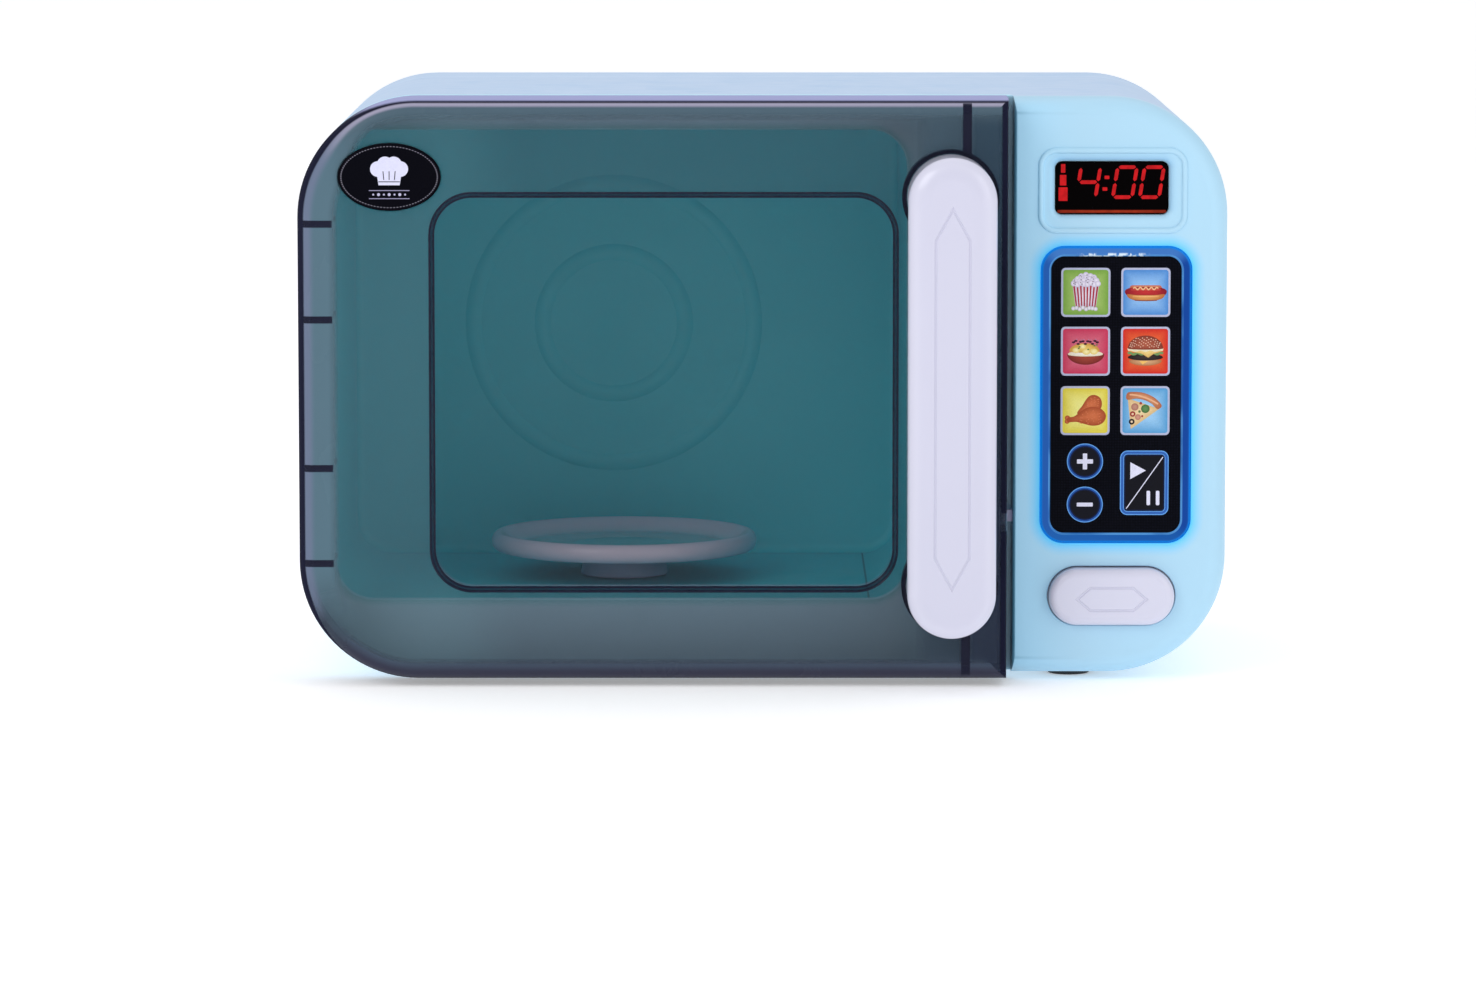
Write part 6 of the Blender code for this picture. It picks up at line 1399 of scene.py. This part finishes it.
def drawHotDog(put, line):
    put(roundRect((0, 1.35), 10.4, 1.9, 0.9)(), (226, 150, 112), (196, 104, 78))
    put(smoothed([(-6.8, 0.3), (-5.6, 1.3), (-2.5, 1.7), (2.5, 1.7), (5.6, 1.3), (6.8, 0.3), (5.8, -1.1), (2.5, -1.5),
                  (-2.5, -1.5), (-5.8, -1.1)]), (196, 50, 50), (132, 18, 38))
    put(roundRect((0, 0.95), 9.8, 0.8, 0.38)(), (212, 92, 72), (184, 52, 50))
    line(wave(-4.0, 4.0, 1.25, 0.38, 9), 0.4, (240, 192, 142))
    put(smoothed([(-6.0, -0.6), (-3.0, -0.9), (3.0, -0.9), (6.0, -0.6), (5.4, -1.9), (2.6, -2.7), (-2.6, -2.7),
                  (-5.4, -1.9)]), (226, 164, 92), (182, 104, 56))
    put(roundRect((0, -1.3), 8.6, 0.55, 0.26)(), (240, 190, 124), (222, 152, 84))
    line(wave(-3.6, 3.6, -2.6, -0.12, 1), 0.26, (128, 60, 44))


def drawPotato(put, line):
    put(dome(0.1, -0.9, 6.0, 0.4, 3.5), (166, 70, 54), (122, 40, 38))
    put(dome(0, -1.0, 5.7, 1.3, 0.7), (248, 244, 232), (232, 220, 190))
    put(dome(-0.3, 0.0, 4.9, 2.6, 0.5), (236, 204, 108), (208, 152, 66))
    for x, z, r in ((-3.0, 0.3, 1.2), (0.3, -0.2, 1.3), (2.7, -0.1, 1.3), (-0.9, 1.5, 1.1)):
        put(disc(x, z, r, 0.75), (250, 238, 176), (236, 204, 112))
    for n, x in enumerate(np.linspace(-3.9, 3.8, 11)):
        put(disc(x, 2.9 + 0.55 * math.sin(n * 2.2), 0.55, 0.62, 10), (84, 34, 62), (36, 16, 32))
        put(disc(x + 0.3, 3.5 + 0.5 * math.sin(n * 2.2), 0.26, 0.6, 8), (186, 128, 160))
    for x, z in ((-2.2, 0.9), (-1.9, 1.4), (3.7, 2.1), (2.9, 1.8), (0.9, 0.6)):
        put(disc(x, z, 0.33, 0.7, 8), (92, 126, 62))


def drawBurger(put, line):
    put(dome(0, -3.1, 5.3, 0.6, 1.6), (214, 168, 124), (176, 116, 76))
    put([(-1.9, -3.2), (0.9, -3.2), (-0.9, -4.3)], (244, 194, 104))
    put(dome(0, -2.0, 5.7, 1.3, 1.0), (60, 48, 46), (28, 24, 26))
    line(wave(-5.7, 5.7, -0.75, 0.25, 9), 0.8, (116, 150, 92))
    put([(-5.6, 0.1), (-1.2, -0.8), (0.9, -2.1), (2.6, -0.9), (5.5, 0.1), (5.5, 0.7), (-5.6, 0.7)], (240, 210, 134),
        (222, 178, 98))
    line(wave(-5.7, 5.7, 0.45, 0.2, 7), 0.85, (234, 222, 190))
    put(dome(0, 0.9, 5.7, 4.2, 0.4), (176, 92, 68), (128, 54, 42))
    for x, z in scattered(46, 0, 1.3, 5.0, 3.5):
        put(disc(x, z, 0.21, 0.8, 6), (238, 196, 170))


def drawChicken(put, line):
    light, dark = (214, 116, 72), (164, 72, 40)
    put(smoothed([(-2.6, -0.9), (-1.0, 1.5), (0.3, 3.6), (1.5, 4.8), (3.1, 5.1), (4.7, 4.3), (5.4, 2.7), (5.1, 0.8),
                  (3.2, -0.9), (0, -1.7)]), light, dark)
    put(disc(-5.7, -2.4, 0.85), light, dark)
    put(disc(-5.8, -3.5, 0.8), light, dark)
    put(smoothed([(-5.6, -2.3), (-3.6, -1.9), (-1.7, -0.5), (0.6, 0.9), (3.0, 1.2), (5.3, 0.5), (6.7, -1.3),
                  (6.3, -3.3), (4.7, -4.6), (2.2, -4.9), (-0.4, -4.3), (-2.7, -3.7), (-5.6, -3.7)]), light, dark,
        centre=(2.6, -1.6))
    for x, z in np.concatenate([scattered(20, 2.9, 1.5, 2.2, 3.1), scattered(26, 2.2, -4.2, 3.9, 4.6)]):
        put(disc(x, z, 0.24, 0.8, 7), (230, 140, 94), (198, 98, 58))


def drawPizza(put, line):
    put([(-5.6, 4.0), (-4.6, -6.0), (4.6, 0.6)], (238, 212, 164), (220, 184, 130))
    toppings = (
        (-3.3, 1.2, 1.2, (198, 146, 124), (168, 108, 94)), (0.1, 0.6, 1.4, (104, 148, 88), (58, 102, 54)),
        (-4.0, -1.1, 0.9, (180, 64, 58), (140, 40, 40)), (-2.3, -2.1, 0.95, (212, 156, 134), (182, 116, 98)),
        (-4.3, -3.6, 0.95, (46, 38, 40), (26, 22, 26)), (-1.8, -0.3, 0.4, (96, 130, 70), (70, 100, 54)),
        (-1.4, 2.4, 0.45, (178, 66, 56), (140, 44, 40)), (-0.9, -1.8, 0.35, (178, 66, 56), (140, 44, 40)),
    )
    for x, z, r, one, two in toppings:
        put(disc(x, z, r), one, two)
    for x, z in ((-4.0, -1.1), (-4.3, -3.6)):
        put(disc(x, z, 0.38), (236, 206, 170))
    put(smoothed([(-5.9, 3.6), (-5.8, 5.7), (-3.6, 6.1), (-0.6, 5.8), (2.2, 4.7), (4.2, 3.2), (5.4, 1.5), (4.0, 0.5),
                  (2.2, 2.2), (-0.4, 3.5), (-3.2, 3.9)]), (214, 148, 106), (178, 102, 68), centre=(0.2, 4.4))
    x = np.linspace(-5.0, 4.2, 12)
    line(np.stack([x, 5.2 - 0.045 * (x + 5.0) ** 1.9], 1), 0.5, (234, 178, 138))


pictures = (
    ((drawPopcorn, (182, 208, 122), (122, 166, 66)), (drawHotDog, (158, 202, 244), (76, 138, 208))),
    ((drawPotato, (222, 118, 138), (202, 52, 88)), (drawBurger, (240, 118, 62), (210, 38, 34))),
    ((drawChicken, (246, 242, 150), (222, 204, 62)), (drawPizza, (166, 212, 244), (84, 156, 208))),
)


def makePictures():
    face = -touch["overlayProud"]
    border = (184, 188, 214)
    for row, z in zip(pictures, touch["rows"]):
        for (draw, light, dark), x in zip(row, touch["columns"]):
            centre = np.array(panel["touch"]) + (x, z)
            sheet = newSheet()
            size = touch["tile"]
            addPatch(sheet, roundRect(centre, size, size, touch["tileCorner"], 6)(), border)
            inner = size - 2 * touch["tileBorder"]
            addPatch(sheet, roundRect(centre, inner, inner, touch["tileCorner"] - 0.5, 6)(), light, dark, rings=8)

            def put(outline, one, two=None, centre=None, at=centre, sheet=sheet):
                middle = None if centre is None else np.asarray(centre) + at
                addPatch(sheet, np.asarray(outline, float) + at, one, two, centre=middle)

            def line(path, width, colour, at=centre, sheet=sheet):
                addStroke(sheet, np.asarray(path, float) + at, width, colour)

            draw(put, line)
            printed("tile_" + draw.__name__[4:].lower(), sheet, face, "casing", printedInk)


def makeKeys():
    face, white = -touch["overlayProud"], touch["white"]
    middle = np.array(panel["touch"])
    pale, blue, deep = (104, 168, 238), (32, 84, 168), (8, 26, 66)
    sheet = newSheet()
    x, heights = touch["keys"]
    plus, minus = [(2.6, 0.7), (0.7, 2.6)], [(2.6, 0.62)]
    for z, strokes in zip(heights, (plus, minus)):
        centre = middle + (x, z)
        for inset, colour in ((0, pale), (0.3, blue), (0.8, deep), (1.25, (8, 10, 24))):
            addPatch(sheet, disc(*centre, touch["keyRadius"] - inset, 1, 64), colour)
        for across, up in strokes:
            addPatch(sheet, roundRect(centre, 2 * across, 2 * up, 0.18, 3)(), white)
    centre = middle + touch["play"]
    width, height = touch["playSize"]
    for inset, colour in ((0, pale), (0.3, (48, 98, 178)), (1.05, pale), (1.25, deep), (1.7, (8, 9, 20))):
        addPatch(sheet, roundRect(centre, width - 2 * inset, height - 2 * inset, max(2.4 - inset, 0.5), 8)(), colour)
    addPatch(sheet, polygon([(4.85, -21.9), (4.85, -27.4), (9.9, -24.6)])() + middle, white)
    for bar in (10.75, 13.75):
        addPatch(sheet, roundRect(middle + (bar, -33.55), 1.15, 4.7, 0.35, 3)(), white)
    addStroke(sheet, np.array([(15.4, -20.2), (3.6, -37.0)]) + middle, 0.3, white)
    printed("key_print", sheet, face, "casing", printedInk)


makePictures()
makeKeys()
print("touch field made")


# Finishes of the CAD nodes that show as they are
nodeFinishes = {
    latchGrey: ["latch_lever"],
    steel: ["latch_pin", "latch_spring", "hinge_pin_lower", "hinge_pin_upper", "handle_screw_lower",
            "handle_screw_upper", "drive_motor", "liner_screw_1", "liner_screw_2", "liner_screw_3", "liner_screw_4"],
    innerGrey: ["display_module", "gear_box", "speaker", "switch_body"],
    boardGreen: ["touch_board", "main_board"],
    gearWhite: ["turntable_gear", "drive_pinion"],
    cellWrap: ["battery_cell_1", "battery_cell_2", "battery_cell_3"],
    tin: ["battery_contacts_lower", "battery_contacts_upper"],
}
for material, names in nodeFinishes.items():
    for name in names:
        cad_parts[name].data.materials.clear()
        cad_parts[name].data.materials.append(material)
print("node finishes given")


# Floor, light and camera
studio = {"floor": 60.0, "floorLight": 0.32, "world": 0.74, "key": 8.0, "fill": 3.5, "top": 3.0, "back": 2.6}


def makeFloor():
    bpy.ops.mesh.primitive_plane_add(size=studio["floor"])
    floor = bpy.context.object
    floor.name = "floor"
    material, tree, shader = newMaterial("floor", **{
        "Roughness": 0.8, "Specular IOR Level": 0.1, "Emission Color": (1, 1, 1, 1),
        "Emission Strength": studio["floorLight"]})
    feed(shader, {"Base Color": mixed(noise(spotIn(tree), 3.0), (0.94, 0.94, 0.95, 1), (0.96, 0.96, 0.97, 1))})
    floor.data.materials.append(material)


def makeLight(name, place, target, size, power, colour=(1, 1, 1)):
    data = bpy.data.lights.new(name, "AREA")
    data.shape, data.size, data.size_y = "RECTANGLE", *size
    data.energy, data.color = power, colour
    light = newObject(name, data)
    light.location = place
    light.rotation_mode = "QUATERNION"
    light.rotation_quaternion = (Vector(target) - Vector(place)).to_track_quat("-Z", "Y")


def makeStudio():
    makeFloor()
    world = bpy.data.worlds.new("studio")
    bpy.context.scene.world = world
    world.use_nodes = True
    back = world.node_tree.nodes["Background"]
    back.inputs["Color"].default_value = (0.97, 0.98, 1.0, 1.0)
    back.inputs["Strength"].default_value = studio["world"]
    middle = (0.0, -0.05, 0.1)
    makeLight("key", (-1.1, -1.5, 1.1), middle, (1.0, 1.0), studio["key"])
    makeLight("fill", (1.3, -1.4, 0.7), middle, (0.9, 1.2), studio["fill"])
    makeLight("top", (0.0, 0.2, 1.7), middle, (1.6, 1.2), studio["top"], (1.0, 0.95, 1.0))
    makeLight("back", (0.0, 1.8, 0.75), middle, (2.4, 0.6), studio["back"], (1.0, 0.78, 1.0))


# Fitted to the photograph: distance ahead of the panel, height over the underside, tilt and turn in degrees
camera = {"distance": 2216.2, "height": 304.5, "aside": -8.381, "tilt": 6.395, "turn": 0.0, "focalPixels": 6877.2,
          "pictureWidth": 1476, "sensor": 36.0}


def makeCamera():
    data = bpy.data.cameras.new("camera")
    data.sensor_width = camera["sensor"]
    data.lens = camera["focalPixels"] / camera["pictureWidth"] * camera["sensor"]
    data.clip_start, data.clip_end = 0.05, 100.0
    view = newObject("camera", data)
    view.location = toWorld([camera["aside"], -camera["distance"], camera["height"]])
    tilt, turn = math.radians(camera["tilt"]), math.radians(camera["turn"])
    ahead = Vector((math.sin(turn) * math.cos(tilt), math.cos(turn) * math.cos(tilt), -math.sin(tilt)))
    view.rotation_mode = "QUATERNION"
    view.rotation_quaternion = ahead.to_track_quat("-Z", "Y")
    bpy.context.scene.camera = view


makeStudio()
makeCamera()
bpy.context.scene.view_settings.view_transform = "Standard"
print("studio made")
